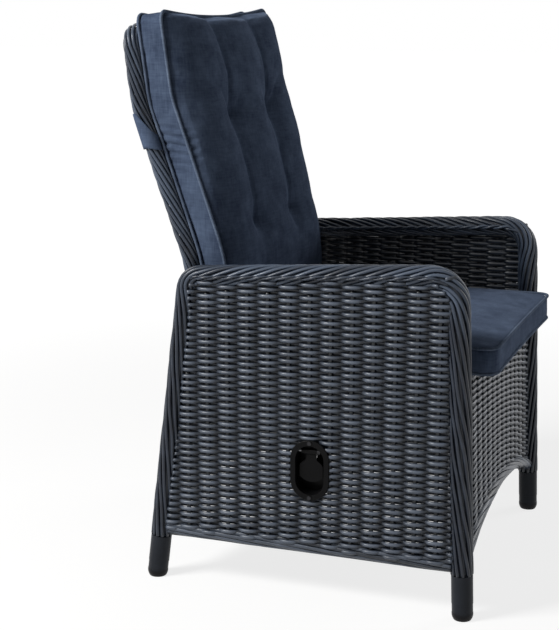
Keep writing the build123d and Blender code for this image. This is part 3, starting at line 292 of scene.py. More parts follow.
def side_path(low_z, step):
    """Y and Z along a side tube, from the rear foot over the arm to the front foot."""
    corners = ((rear_leg_y(low_z), low_z), ARM_REAR, ARM_FRONT, (front_leg_y(low_z), low_z))
    return rounded_path(corners, (ARM_REAR_BEND, ARM_FRONT_BEND), step)


def arch_height(x):
    """Height of the aprons' arched rails at a place across the chair."""
    radius = (SIDE_X**2 + ARCH_RISE**2) / (2 * ARCH_RISE)
    return ARCH_END + ARCH_RISE - radius + np.sqrt(radius**2 - x**2)


def slow_wave(along, waves):
    """Wave along a strand, of a random length and start."""
    return np.sin(along * random.uniform(*waves) + random.uniform(*WAVE_STARTS))


class Strands:
    """Collects strands, each a rounded section swept along a line, into one mesh."""

    UV_STARTS = 5.0

    def __init__(self, sides):
        self.sides = sides
        self.verts, self.faces, self.uvs, self.tones_and_shades = [], [], [], []
        self.count = 0

    def add(self, line, wide, thick, width, thickness, tone):
        """One strand along a line, with its section's two directions and sizes, and a colour value that may
        hold painted shade or light.
        """
        n, m = len(line), self.sides
        angle = np.arange(m) * 2 * math.pi / m
        width = np.broadcast_to(np.asarray(width, float), (n,))[:, None, None]
        thickness = np.broadcast_to(np.asarray(thickness, float), (n,))[:, None, None]
        ring = (
            line[:, None, :]
            + wide[:, None, :] * np.cos(angle)[None, :, None] * width / 2
            + thick[:, None, :] * np.sin(angle)[None, :, None] * thickness / 2
        )
        self.verts.append(ring.reshape(-1, 3))
        i, j = np.meshgrid(np.arange(n - 1), np.arange(m), indexing="ij")
        near, far = i * m + j, (i + 1) * m + j
        near_next, far_next = i * m + (j + 1) % m, (i + 1) * m + (j + 1) % m
        quads = np.stack([near, near_next, far_next, far], axis=-1).reshape(-1, 4) + self.count
        self.faces.extend(quads.tolist())
        self.faces.append((self.count + np.arange(m)[::-1]).tolist())
        self.faces.append((self.count + (n - 1) * m + np.arange(m)).tolist())
        along = distances(line) + random.uniform(0.0, self.UV_STARTS)
        self.uvs.append(np.stack([np.repeat(along, m), np.tile(np.abs(angle / math.pi - 1), n)], axis=-1))
        self.tones_and_shades.append(np.repeat(np.broadcast_to(np.asarray(tone, float), (n,)), m))
        self.count += n * m

    def build(self, name, material):
        piece = new_mesh(name, np.concatenate(self.verts), self.faces, material)
        layer = piece.data.uv_layers.new(name="Strand")
        index = np.empty(len(piece.data.loops), np.int32)
        piece.data.loops.foreach_get("vertex_index", index)
        layer.data.foreach_set("uv", np.concatenate(self.uvs)[index].astype(np.float32).ravel())
        tone = piece.data.attributes.new("tone", "FLOAT", "POINT")
        tone.data.foreach_set("value", np.concatenate(self.tones_and_shades).astype(np.float32))
        return piece


def new_mesh(name, verts, faces, material):
    mesh = bpy.data.meshes.new(name)
    mesh.from_pydata(np.asarray(verts, float).tolist(), [], faces)
    mesh.polygons.foreach_set("use_smooth", np.ones(len(mesh.polygons), bool))
    mesh.materials.append(material)
    mesh.update()
    piece = bpy.data.objects.new(name, mesh)
    bpy.context.scene.collection.objects.link(piece)
    return piece


def place(piece, body, slot, *nodes):
    """Hangs a piece on its body and hides the solids that it stands for; the slot is not used."""
    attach(piece, body)
    if nodes:
        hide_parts(*nodes)
    return piece


# Materials


def node_material(name, roughness):
    material = bpy.data.materials.new(name)
    material.use_nodes = True
    shader = material.node_tree.nodes["Principled BSDF"]
    shader.inputs["Roughness"].default_value = roughness
    return material, material.node_tree.nodes, material.node_tree.links, shader


def ramp(nodes, links, value, stops):
    """Colour ramp fed by a value; stops are (place, colour)."""
    node = nodes.new("ShaderNodeValToRGB")
    while len(node.color_ramp.elements) < len(stops):
        node.color_ramp.elements.new(0.5)
    for element, (place_on, colour) in zip(node.color_ramp.elements, stops):
        element.position = place_on
        element.color = (*colour, 1.0)
    links.new(value, node.inputs["Fac"])
    return node.outputs["Color"]


def noise(nodes, links, vector, scale, detail=2.0, stretch=(1.0, 1.0, 1.0)):
    mapping = nodes.new("ShaderNodeMapping")
    mapping.inputs["Scale"].default_value = stretch
    links.new(vector, mapping.inputs["Vector"])
    node = nodes.new("ShaderNodeTexNoise")
    node.inputs["Scale"].default_value = scale
    node.inputs["Detail"].default_value = detail
    links.new(mapping.outputs["Vector"], node.inputs["Vector"])
    return node.outputs["Fac"]


def mix(nodes, links, factor, first, second):
    """Colour mix; each input is a socket or a plain colour."""
    node = nodes.new("ShaderNodeMix")
    node.data_type = "RGBA"
    for socket, value in zip((node.inputs[0], node.inputs[6], node.inputs[7]), (factor, first, second)):
        if isinstance(value, tuple):
            socket.default_value = (*value, 1.0)
        else:
            links.new(value, socket)
    return node.outputs[2]


def math_node(nodes, links, operation, first, second):
    node = nodes.new("ShaderNodeMath")
    node.operation = operation
    for socket, value in zip(node.inputs, (first, second)):
        if isinstance(value, (float, int)):
            socket.default_value = value
        else:
            links.new(value, socket)
    return node.outputs["Value"]


def bump(nodes, links, shader, height, strength, distance, under=None):
    node = nodes.new("ShaderNodeBump")
    node.inputs["Strength"].default_value = strength
    node.inputs["Distance"].default_value = distance
    links.new(height, node.inputs["Height"])
    if under is not None:
        links.new(under, node.inputs["Normal"])
    links.new(node.outputs["Normal"], shader.inputs["Normal"])
    return node.outputs["Normal"]


def strand_material(name, dark, light):
    """Extruded plastic strand: satin, finely grooved along its length, no two strands alike."""
    tone_and_shade_share, mottle_share = 0.6, 0.45
    material, nodes, links, shader = node_material(name, roughness=0.34)
    shader.inputs["Specular IOR Level"].default_value = 0.42
    # This attribute carries painted shade and painted light as well as random colour variation.
    tone = nodes.new("ShaderNodeAttribute")
    tone.attribute_name = "tone"
    place_in = nodes.new("ShaderNodeTexCoord")
    mottle = noise(nodes, links, place_in.outputs["Object"], scale=34.0, detail=3.0)
    mixed = math_node(nodes, links, "MULTIPLY", tone.outputs["Fac"], tone_and_shade_share)
    mottle = math_node(nodes, links, "MULTIPLY", mottle, mottle_share)
    mixed = math_node(nodes, links, "ADD", mixed, mottle)
    links.new(ramp(nodes, links, mixed, ((0.18, dark), (0.80, light))), shader.inputs["Base Color"])
    uv = nodes.new("ShaderNodeUVMap")
    uv.uv_map = "Strand"
    grooves = noise(nodes, links, uv.outputs["UV"], scale=1.0, detail=3.0, stretch=(9.0, 16.0, 1.0))
    bump(nodes, links, shader, grooves, strength=0.30, distance=0.0004)
    gloss = ramp(nodes, links, grooves, ((0.3, (0.27,) * 3), (0.7, (0.40,) * 3)))
    links.new(gloss, shader.inputs["Roughness"])
    return material


def cloth_material(name, dark, light):
    """Outdoor cloth: heathered threads both ways over broad soft mottling."""
    thread_share, broad_share = 0.26, 0.48
    material, nodes, links, shader = node_material(name, roughness=0.95)
    shader.inputs["Sheen Weight"].default_value = 0.15
    shader.inputs["Sheen Tint"].default_value = (0.55, 0.70, 1.0, 1.0)
    shader.inputs["Sheen Roughness"].default_value = 0.4
    shader.inputs["Specular IOR Level"].default_value = 0.05
    where = nodes.new("ShaderNodeTexCoord").outputs["Object"]
    across = noise(nodes, links, where, scale=150.0, detail=3.0, stretch=(0.30, 0.30, 2.2))
    upward = noise(nodes, links, where, scale=150.0, detail=3.0, stretch=(2.0, 2.0, 0.26))
    broad = noise(nodes, links, where, scale=26.0, detail=4.0)
    heather = math_node(nodes, links, "ADD", across, upward)
    heather = math_node(nodes, links, "MULTIPLY", heather, thread_share)
    broad = math_node(nodes, links, "MULTIPLY", broad, broad_share)
    heather = math_node(nodes, links, "ADD", heather, broad)
    links.new(ramp(nodes, links, heather, ((0.36, dark), (0.64, light))), shader.inputs["Base Color"])
    threads = noise(nodes, links, where, scale=1400.0, detail=1.0)
    thread_normal = bump(nodes, links, shader, threads, strength=0.25, distance=0.0004)
    folds = noise(nodes, links, where, scale=22.0, detail=2.0, stretch=(1.0, 1.0, 0.8))
    bump(nodes, links, shader, folds, strength=0.22, distance=0.004, under=thread_normal)
    return material


def moulded_material(name, colour, roughness, grain=0.15, spread=0.25, shine=0.5):
    """Moulded or coated surface with a fine grain and slightly uneven colour and gloss."""
    smoothest, roughest = roughness * 0.85, min(1.0, roughness * 1.2)
    material, nodes, links, shader = node_material(name, roughness)
    shader.inputs["Specular IOR Level"].default_value = shine
    where = nodes.new("ShaderNodeTexCoord").outputs["Object"]
    broad = noise(nodes, links, where, scale=18.0, detail=3.0)
    low = tuple(c * (1 - spread) for c in colour)
    high = tuple(min(1.0, c * (1 + spread)) for c in colour)
    links.new(ramp(nodes, links, broad, ((0.3, low), (0.7, high))), shader.inputs["Base Color"])
    gloss = ramp(nodes, links, broad, ((0.3, (smoothest,) * 3), (0.7, (roughest,) * 3)))
    links.new(gloss, shader.inputs["Roughness"])
    fine = noise(nodes, links, where, scale=900.0, detail=2.0)
    bump(nodes, links, shader, fine, strength=grain, distance=0.0003)
    return material


def foot_material(name, colour, tip):
    """Moulded plastic of the feet, black at the rounded tip on the ground."""
    tip_top_z, above_tip_z = 0.010, 0.017
    material = moulded_material(name, colour, roughness=0.42, shine=0.15)
    nodes, links = material.node_tree.nodes, material.node_tree.links
    shader = nodes["Principled BSDF"]
    above = shader.inputs["Base Color"].links[0].from_socket
    height = nodes.new("ShaderNodeSeparateXYZ")
    links.new(nodes.new("ShaderNodeTexCoord").outputs["Object"], height.inputs["Vector"])
    stops = ((tip_top_z, (0.0, 0.0, 0.0)), (above_tip_z, (1.0, 1.0, 1.0)))
    above_tip_share = ramp(nodes, links, height.outputs["Z"], stops)
    links.new(mix(nodes, links, above_tip_share, tip, above), shader.inputs["Base Color"])
    return material


def metal_material(name, colour, roughness):
    """Plated or ground steel."""
    material = moulded_material(name, colour, roughness, grain=0.05, spread=0.08)
    material.node_tree.nodes["Principled BSDF"].inputs["Metallic"].default_value = 1.0
    return material


def webbing_material(name):
    """Woven elastic webbing, ribbed along its length."""
    dark, light = (0.012, 0.012, 0.014), (0.05, 0.05, 0.056)
    material, nodes, links, shader = node_material(name, roughness=0.85)
    where = nodes.new("ShaderNodeTexCoord").outputs["Object"]
    ribs = noise(nodes, links, where, scale=420.0, detail=1.0)
    links.new(ramp(nodes, links, ribs, ((0.35, dark), (0.65, light))), shader.inputs["Base Color"])
    bump(nodes, links, shader, ribs, strength=0.4, distance=0.0006)
    return material


WICKER = strand_material("wicker_strand", (0.0035, 0.006, 0.0115), (0.092, 0.112, 0.150))
BRAID = strand_material("braid_strand", (0.010, 0.015, 0.026), (0.074, 0.099, 0.145))
# Painted shade: the stakes are coloured near-black to stand in for the shade in the recesses behind the
# rows.
SHADED_STAKE = strand_material("stake_painted_shade", (0.004, 0.005, 0.007), (0.012, 0.015, 0.020))
CLOTH = cloth_material("cushion_cloth", (0.043, 0.060, 0.104), (0.099, 0.135, 0.211))
PIPING = cloth_material("piping_cloth", (0.070, 0.094, 0.146), (0.150, 0.192, 0.270))

SLOT_MATERIALS = {
    "foot_plastic": foot_material("foot_plastic", (0.016, 0.019, 0.025), (0.003, 0.003, 0.004)),
    "lever_plastic": moulded_material("lever_plastic", (0.004, 0.004, 0.0045), 0.3, grain=0.1, shine=0.08),
    "bush_plastic": moulded_material("bush_plastic", (0.03, 0.03, 0.035), 0.5),
    "sheath_plastic": moulded_material("sheath_plastic", (0.012, 0.012, 0.013), 0.4),
    "coated_frame": moulded_material("coated_frame", (0.018, 0.022, 0.032), 0.45, grain=0.2),
    "gas_tube": moulded_material("gas_tube", (0.012, 0.012, 0.013), 0.28, grain=0.02),
    "polished_steel": metal_material("polished_steel", (0.62, 0.63, 0.64), 0.16),
    "zinc_steel": metal_material("zinc_steel", (0.48, 0.49, 0.51), 0.34),
    "webbing": webbing_material("webbing"),
    "wicker_weave": WICKER,
    "wicker_braid": BRAID,
    "cushion_cloth": CLOTH,
    "strap_cloth": CLOTH,
}

NODE_MATERIALS = {
    "housing_screws": metal_material("screw_steel", (0.035, 0.035, 0.038), 0.30),
    "lever_spring": metal_material("spring_steel", (0.03, 0.03, 0.032), 0.35),
}


def paint_cad_nodes():
    """Gives each CAD node the material of its slot, or its own."""
    for part in frame["record"]["subparts"]:
        node = frame["nodes"][part["node"]]
        node.data.materials.clear()
        material = SLOT_MATERIALS[part["material_slot"]]
        node.data.materials.append(NODE_MATERIALS.get(part["node"], material))


# Braided wraps


def twisted_wrap(strands, path, out, up, radius, count, lead, width, thickness,
                 sign=1.0, wobble=0.05, painted_light=1.0):
    """Strands wound side by side round a line. Out and up span the section at each point.

    Lead is the length of a turn, and the last argument is painted light: a share that paints the
    strands lighter where more light falls; both may change along the line.
    """
    runs = np.linalg.norm(np.diff(path, axis=0), axis=1)
    along = distances(path)
    lead = np.broadcast_to(np.asarray(lead, float), (len(path),))
    turned = np.concatenate(([0.0], np.cumsum(2 * math.pi * runs / ((lead[1:] + lead[:-1]) / 2))))
    for k in range(count):
        wander = sum(
            wobble * random.uniform(*WANDER_SHARES) * slow_wave(along, WANDER_WAVES) for _ in range(2)
        )
        angle = sign * (turned + 2 * math.pi * k / count + wander)
        radial = out * np.cos(angle)[:, None] + up * np.sin(angle)[:, None]
        lift = STRAND_LIFT * slow_wave(along, LIFT_WAVES)
        line = path + radial * (radius + lift)[:, None]
        tangent = unit(np.gradient(line, axis=0))
        wide = unit(np.cross(tangent, radial))
        tone = painted_light * random.uniform(0.0, 1.0)
        strands.add(line, wide, radial, width * random.uniform(*BRAID_WIDTHS), thickness, tone)


def plane_frames(path, out):
    """Section directions for a path in a plane: its normal, and the side away from its middle."""
    tangent = unit(np.gradient(path, axis=0))
    outs = everywhere(out, path)
    up = unit(np.cross(tangent, outs))
    middle = path.mean(axis=0)
    if np.sum(up * (path - middle)) < 0:
        up = -up
    return outs, up


def carried_frames(tangent, first_out):
    """Section directions carried along a path in space without twist."""
    outs = np.zeros_like(tangent)
    out = np.asarray(first_out, float)
    for k, t in enumerate(tangent):
        out = out - t * np.dot(out, t)
        out = out / np.linalg.norm(out)
        outs[k] = out
    return outs, np.cross(tangent, outs)


def arm_wraps():
    """Braid over each side tube, which lies flatter on the arm, with a twisted cord at each edge."""
    for sign, side in ((1, "left"), (-1, "right")):
        flat = side_path(WRAP_LOW_Z, ARM_STEP)
        path = np.stack([np.full(len(flat), sign * SIDE_X), flat[:, 0], flat[:, 1]], axis=1)
        out, up = plane_frames(path, (sign, 0, 0))
        y, z = flat[:, 0], flat[:, 1]
        on_arm = np.clip((z - ARM_CHANGE_Z) / ARM_CHANGE_RUN, 0, 1)
        strands = Strands(BRAID_SIDES)
        # Painted light: the braid is painted lighter up on the arm, where the light falls, and darker down
        # the legs.
        twisted_wrap(strands, path, out, up, lead=LEG_LEAD - LEAD_DROP * on_arm, painted_light=on_arm, **ARM_BRAID)
        arm = (z > EDGE_LOW_Z) & (y > ARM_FRONT[0] + EDGE_FRONT_IN) & (y < ARM_REAR[0] - EDGE_REAR_IN)
        ends = np.minimum(np.arange(arm.sum()), np.arange(arm.sum())[::-1]) / EDGE_FADE
        reach = WRAP_R + EDGE_PROUD - EDGE_TUCK * np.clip(1 - ends, 0, 1)
        for way in (1, -1):
            away = way * out[arm]
            twisted_wrap(strands, path[arm] + away * reach[:, None], away, up[arm], **ARM_EDGE)
        place(strands.build(f"arm_braid_{side}", BRAID), "base", "wicker_braid", f"arm_wrap_{side}")


# Woven panels


def woven_rows(strands, surface, rows, span, inside, pitch, offset, swing, settle=None):
    """Rows of a plain weave, with painted shade: darker where they pass behind the stakes.

    Surface turns (across, share of the height) into point, out and up; inside says which points
    are on the panel; settle may move a row's points at its ends.
    """
    across = np.arange(span[0], span[1], pitch / ROW_STEPS)
    for row in range(rows):
        share = np.full(len(across), (row + 0.5) / rows)
        point, out, up = surface(across, share)
        keep = inside(point)
        phase = math.pi * (across - offset) / pitch + math.pi * (row % 2)
        for run in runs_of(keep):
            if len(run) < LEAST_ROW:
                continue
            sway = np.tanh(TURN_SHARPNESS * (np.cos(phase[run]) - BEHIND_BIAS))
            drift = ROW_DRIFT * slow_wave(across[run], DRIFT_WAVES)
            line = point[run] + out[run] * (swing * sway)[:, None] + up[run] * drift[:, None]
            if settle:
                line = settle(line)
            lean = CHANCE_LEAN * slow_wave(across[run], LEAN_WAVES)
            lean = lean - STRAND_LEAN * (0.5 + 0.5 * sway)
            wide = unit(up[run] + out[run] * lean[:, None])
            tangent = unit(np.gradient(line, axis=0))
            thick = unit(np.cross(wide, tangent))
            width = STRAND_W * (CROSSING_WIDTH + (1 - CROSSING_WIDTH) * sway**2)
            width = width * random.uniform(*ROW_WIDTHS)
            width *= 1 - BEFORE_LOSS * np.maximum(sway, 0) - BEHIND_GAIN * np.minimum(sway, 0)
            # Painted shade: a row is painted darker where it swings back behind the stakes.
            shade = np.clip((sway + SHADE_START) / SHADE_SPAN, 0.0, 1.0) ** SHADE_POWER
            strands.add(line, wide, thick, width, STRAND_T, tone=shade * random.uniform(*ROW_TONES))


def runs_of(keep):
    """Index arrays of the unbroken runs of a mask."""
    index = np.flatnonzero(keep)
    if not len(index):
        return []
    return np.split(index, np.flatnonzero(np.diff(index) > 1) + 1)


def woven_stakes(strands, surface, places, inside):
    """Upright stakes that the rows pass before and behind."""
    share = np.linspace(0.0, 1.0, STAKE_POINTS)
    for across in places:
        point, out, up = surface(np.full(len(share), across), share)
        keep = inside(point)
        wide = unit(np.cross(up, out))
        for run in runs_of(keep):
            if len(run) >= LEAST_STAKE:
                strands.add(point[run], wide[run], out[run], STAKE_W, STAKE_T, STAKE_SHADE)


def woven_panel(name, node, surface, rows, span, inside, swing, pitch, stakes,
                offset=0.0, settle=None, stakes_inside=None, body="base"):
    """Rows and stakes of a panel; the stakes are numbered from the one at the offset."""
    strands = Strands(ROW_SIDES)
    woven_rows(strands, surface, rows, span, inside, pitch, offset, swing, settle)
    place(strands.build(name.format("rows"), WICKER), body, "wicker_weave", node)
    strands = Strands(ROW_SIDES)
    woven_stakes(strands, surface, offset + pitch * stakes, stakes_inside or inside)
    # The stakes take the near-black painted-shade material.
    place(strands.build(name.format("stakes"), SHADED_STAKE), body, "wicker_weave")


def side_panels():
    """Woven sides between the tubes and the bottom rail, the right one round the lever's opening."""
    line = side_path(PANEL_PATH_LOW_Z, ARM_STEP)
    arm_slope = (ARM_FRONT[1] - ARM_REAR[1]) / (ARM_FRONT[0] - ARM_REAR[0])
    low_z = BOTTOM_RAIL_Z - RAIL_DROP
    rows = int(round((ARM_FRONT[1] - low_z + ROWS_BELOW) / ROW_PITCH))

    def tube_gap(point):
        """Distance of points in the panel from the bent tube's centre line."""
        away = point[:, None, 1:] - line[None, :, :]
        return np.sqrt(np.min(np.sum(away**2, axis=2), axis=1))

    def under_arm(point):
        y, z = point[:, 1], point[:, 2]
        arm_z = ARM_REAR[1] + arm_slope * (y - ARM_REAR[0])
        return (y < rear_leg_y(z)) & (y > front_leg_y(z)) & (z < arm_z)

    upward = (0, 0, 1)
    for sign, side in ((1, "left"), (-1, "right")):
        outward = (sign, 0, 0)

        def surface(across, share):
            z = low_z - ROWS_BELOW + share * rows * ROW_PITCH - ROW_RISE * across
            point = np.stack([np.full(len(across), sign * WEAVE_X), across, z], axis=1)
            return point, everywhere(outward, point), everywhere(upward, point)

        def inside(point, reach=None):
            z = point[:, 2]
            if reach is None:
                reach = np.interp(z, REACH_HEIGHTS, (LEG_REACH, ARM_REACH))
            keep = (tube_gap(point) > reach) & under_arm(point) & (z > low_z)
            if side == "right":
                half_w, half_h = LEVER_HOLE[0] / 2, LEVER_HOLE[1] / 2
                dz = np.maximum(np.abs(z - LEVER_Z) - (half_h - half_w), 0.0)
                keep &= np.hypot(point[:, 1] - LEVER_Y, dz) > half_w
            return keep

        def settle(row):
            """Lifts a row onto the tube where it runs onto it, and tucks its ends into the braid."""
            gap = tube_gap(row)
            lift = RIDE_LIFT * np.clip((WRAP_R - RIDE_START - gap) / RIDE_RUN, 0.0, 1.0)
            tuck = END_TUCK * np.clip((LEG_REACH + TUCK_RUN - gap) / TUCK_RUN, 0.0, 1.0)
            tuck *= np.clip((TUCK_TOP_Z - row[:, 2]) / TUCK_FADE, 0.0, 1.0)
            return row + np.outer(lift - tuck, outward)

        woven_panel(
            f"side_{{}}_{side}", f"side_weave_{side}", surface, rows, SIDE_SPAN, inside, SIDE_SWING,
            STAKE_PITCH, SIDE_STAKES, offset=SIDE_STAKE_Y, settle=settle,
            stakes_inside=lambda point: inside(point, WRAP_R + STAKE_CLEARANCE),
        )
        rear_end, front_end = rear_leg_y(ROLL_END_Z) - ROLL_END_IN, front_leg_y(ROLL_END_Z) + ROLL_END_IN
        rail = np.stack([np.full(ROLL_POINTS, sign * SIDE_X),
                         np.linspace(rear_end, front_end, ROLL_POINTS),
                         np.full(ROLL_POINTS, low_z)], axis=1)
        out, up = everywhere(outward, rail), everywhere(upward, rail)
        roll = Strands(BRAID_SIDES)
        twisted_wrap(roll, rail, out, up, sign=sign, **SIDE_ROLL)
        place(roll.build(f"side_roll_{side}", WICKER), "base", "wicker_weave")


def apron(end, foot_y, corner, top_z, facing):
    """Woven apron between two legs, over its arched rail."""
    lean = np.array([0.0, corner[0] - foot_y, corner[1]])
    up_way = lean / np.linalg.norm(lean)
    out_way = np.array([0.0, facing * up_way[2], -facing * up_way[1]])
    half = SIDE_X - WRAP_R + APRON_TUCK

    def on_apron(across, z):
        return np.stack([across, foot_y + (corner[0] - foot_y) * z / corner[1], z], axis=1)

    def surface(across, share):
        low = arch_height(across) + ARCH_LIFT
        point = on_apron(across, low + share * (top_z - low))
        return point, everywhere(out_way, point), everywhere(up_way, point)

    def inside(point):
        return np.abs(point[:, 0]) < half

    rows = int(round((top_z - APRON_LOW_Z) / ROW_PITCH))
    woven_panel(f"{end}_{{}}", f"{end}_apron_weave", surface, rows, (-half, half), inside,
                APRON_SWING, APRON_PITCH, MIDDLE_STAKES)
    across = np.linspace(-half, half, ARCH_POINTS)
    arch = on_apron(across, arch_height(across))
    out = everywhere(out_way, arch)
    up = unit(np.cross(out, unit(np.gradient(arch, axis=0))))
    roll = Strands(BRAID_SIDES)
    twisted_wrap(roll, arch, out, up, sign=facing, **ARCH_ROLL)
    top = on_apron(across, np.full(len(across), top_z))
    up = everywhere(up_way, top)
    if end == "rear":
        twisted_wrap(roll, top, out, up, **REAR_TOP_ROLL)
    else:
        twisted_wrap(roll, top - up_way * TOP_CORD_DROP, out, up, **FRONT_TOP_CORD)
    place(roll.build(f"{end}_rolls", BRAID), "base", "wicker_weave")


def back_low_y(z):
    """Y of the back's side tubes at a height on their lowest run."""
    (low_y, low_z), (high_y, high_z) = BACK_POINTS[:2]
    return np.interp(z, [low_z, high_z], [low_y, high_y])


def back_line(step):
    """Y and Z up the S of the back's side tubes from the lower tube, carried on past its top."""
    low = (back_low_y(BACK_LOW_TUBE_Z), BACK_LOW_TUBE_Z)
    top, before = np.array(BACK_POINTS[3]), np.array(BACK_POINTS[2])
    beyond = top + unit(top - before) * BACK_OVERRUN
    return rounded_path((low, BACK_POINTS[1], BACK_POINTS[2], beyond), (BACK_BEND, BACK_BEND), step)


class BackCurve:
    """The back's S, with its direction, as places along it or by height."""

    def __init__(self):
        self.line = back_line(BACK_STEP)
        self.tangent = unit(np.gradient(self.line, axis=0))
        self.along = distances(self.line)

    def y(self, z):
        return np.interp(z, self.line[:, 1], self.line[:, 0])

    def direction(self, z):
        """Y and Z of the S's direction at a height."""
        return columns_at(z, self.line[:, 1], self.tangent)


def back_panel():
    """Woven panel of the back, inside the wrapped tube."""
    line = back_line(PANEL_STEP)
    line = line[line[:, 1] < BACK_POINTS[3][1] - BACK_WRAP_R + BACK_TOP_TUCK]
    tangent = unit(np.gradient(line, axis=0))
    half = BACK_X - BACK_WRAP_R + BACK_TUCK
    length = PANEL_STEP * (len(line) - 1)
    where = np.linspace(0.0, 1.0, len(line))

    def surface(across, share):
        (y, z), (ty, tz) = (columns_at(share, where, table) for table in (line, tangent))
        zero = np.zeros(len(across))
        point = np.stack([across, y, z], axis=1)
        return point, np.stack([zero, tz, -ty], axis=1), np.stack([zero, ty, tz], axis=1)

    def inside(point):
        x, z = np.abs(point[:, 0]), point[:, 2]
        corner_x, corner_z = BACK_X - BACK_CORNER, BACK_POINTS[3][1] - BACK_CORNER
        reach = BACK_CORNER - BACK_WRAP_R + BACK_TUCK
        beyond = (x > corner_x) & (z > corner_z)
        return (x < half) & (~beyond | (np.hypot(x - corner_x, z - corner_z) < reach))

    rows = int(round(length / ROW_PITCH))
    woven_panel("back_{}", "back_weave", surface, rows, (-half, half), inside,
                BACK_SWING, STAKE_PITCH, MIDDLE_STAKES, body="back")
    cord = Strands(ROW_SIDES)
    across = np.linspace(-half, half, RIM_POINTS)
    point, out, up = surface(across, np.zeros(len(across)))
    twisted_wrap(cord, point, out, up, **BACK_RIM)
    place(cord.build("back_rim", BRAID), "back", "wicker_weave")


def back_braid():
    """Braid round the back's tube, up one side, over the top and down the other."""
    low_y = back_low_y(BACK_WRAP_LOW_Z)
    corners = [(-BACK_X, low_y, BACK_WRAP_LOW_Z)]
    corners += [(-BACK_X, y, z) for y, z in BACK_POINTS[1:]]
    corners += [(BACK_X, y, z) for y, z in reversed(BACK_POINTS[1:])]
    corners += [(BACK_X, low_y, BACK_WRAP_LOW_Z)]
    bends = (BACK_BEND, BACK_BEND, BACK_CORNER, BACK_CORNER, BACK_BEND, BACK_BEND)
    path = rounded_path(corners, bends, BACK_BRAID_STEP)
    ty, tz = BackCurve().direction(path[:, 2])
    path = path + BACK_BRAID_SHIFT * np.stack([np.zeros(len(path)), tz, -ty], axis=1)
    out, up = carried_frames(unit(np.gradient(path, axis=0)), (-1, 0, 0))
    strands = Strands(BRAID_SIDES)
    twisted_wrap(strands, path, out, up, **BACK_BRAID)
    place(strands.build("back_braid", BRAID), "back", "wicker_braid", "back_wrap")


# Cushions: the voxels of their remesh, the step of their seams and the cloth simulation
VOXEL = 0.006
SEAM_STEP = 0.006
CLOTH_QUALITY = 5
CLOTH_MASS = 0.3
CLOTH_STIFFNESS = 12.0
CLOTH_BENDING = 0.6
CLOTH_FRAMES = 20
PIN_LEAST = 0.02
HOLD_SLOPE = 1.5
FOLD_SCALE = 0.085


def rim(us, vs):
    """Places once round the rim of a grid, as pairs of U and V."""
    us, vs = list(us), list(vs)
    places = [(u, vs[0]) for u in us] + [(us[-1], v) for v in vs[1:]]
    return places + [(u, vs[-1]) for u in us[-2::-1]] + [(us[0], v) for v in vs[-2:0:-1]]


def seam_line(points):
    """Closed line through points, as points a steady step apart."""
    loop = np.array(points)
    return resample(np.concatenate([loop, loop[:1]]), SEAM_STEP)[:-1]


def pushed_out(loop, middle, shares, distance):
    """Line moved away from a middle, by a share of the distance along each axis."""
    return loop + unit((loop - np.array(middle)) * np.array(shares)) * distance


def closed_pad(front, rear, sides):
    """Verts and faces of a pad: two grids of one size, joined round their rims by rings of points."""
    nu, nv = front.shape[:2]
    edge = rim(range(nu), range(nv))
    verts = list(front.reshape(-1, 3)) + list(rear.reshape(-1, 3))
    faces = []
    for i in range(nu - 1):
        for j in range(nv - 1):
            a, b, c, d = i * nv + j, (i + 1) * nv + j, (i + 1) * nv + j + 1, i * nv + j + 1
            faces.append((a, b, c, d))
            faces.append(tuple(nu * nv + k for k in (d, c, b, a)))
    rings = [[i * nv + j for i, j in edge]]
    for k in range(1, sides):
        share = k / sides
        start = len(verts)
        verts += [front[i, j] * (1 - share) + rear[i, j] * share for i, j in edge]
        rings.append(list(range(start, start + len(edge))))
    rings.append([nu * nv + i * nv + j for i, j in edge])
    for first, second in zip(rings, rings[1:]):
        for k in range(len(edge)):
            n = (k + 1) % len(edge)
            faces.append((first[k], second[k], second[n], first[n]))
    return np.array(verts), faces


def remesh(piece):
    modifier = piece.modifiers.new("Remesh", "REMESH")
    modifier.mode = "VOXEL"
    modifier.voxel_size = VOXEL
    modifier.use_smooth_shade = True
    apply_modifiers(piece)


def apply_modifiers(piece):
    graph = bpy.context.evaluated_depsgraph_get()
    graph.update()
    mesh = bpy.data.meshes.new_from_object(piece.evaluated_get(graph))
    piece.modifiers.clear()
    old = piece.data
    piece.data = mesh
    bpy.data.meshes.remove(old)


def points_of(piece):
    co = np.empty(len(piece.data.vertices) * 3)
    piece.data.vertices.foreach_get("co", co)
    return co.reshape(-1, 3)


def set_points(piece, points):
    piece.data.vertices.foreach_set("co", np.asarray(points, float).ravel())
    piece.data.update()


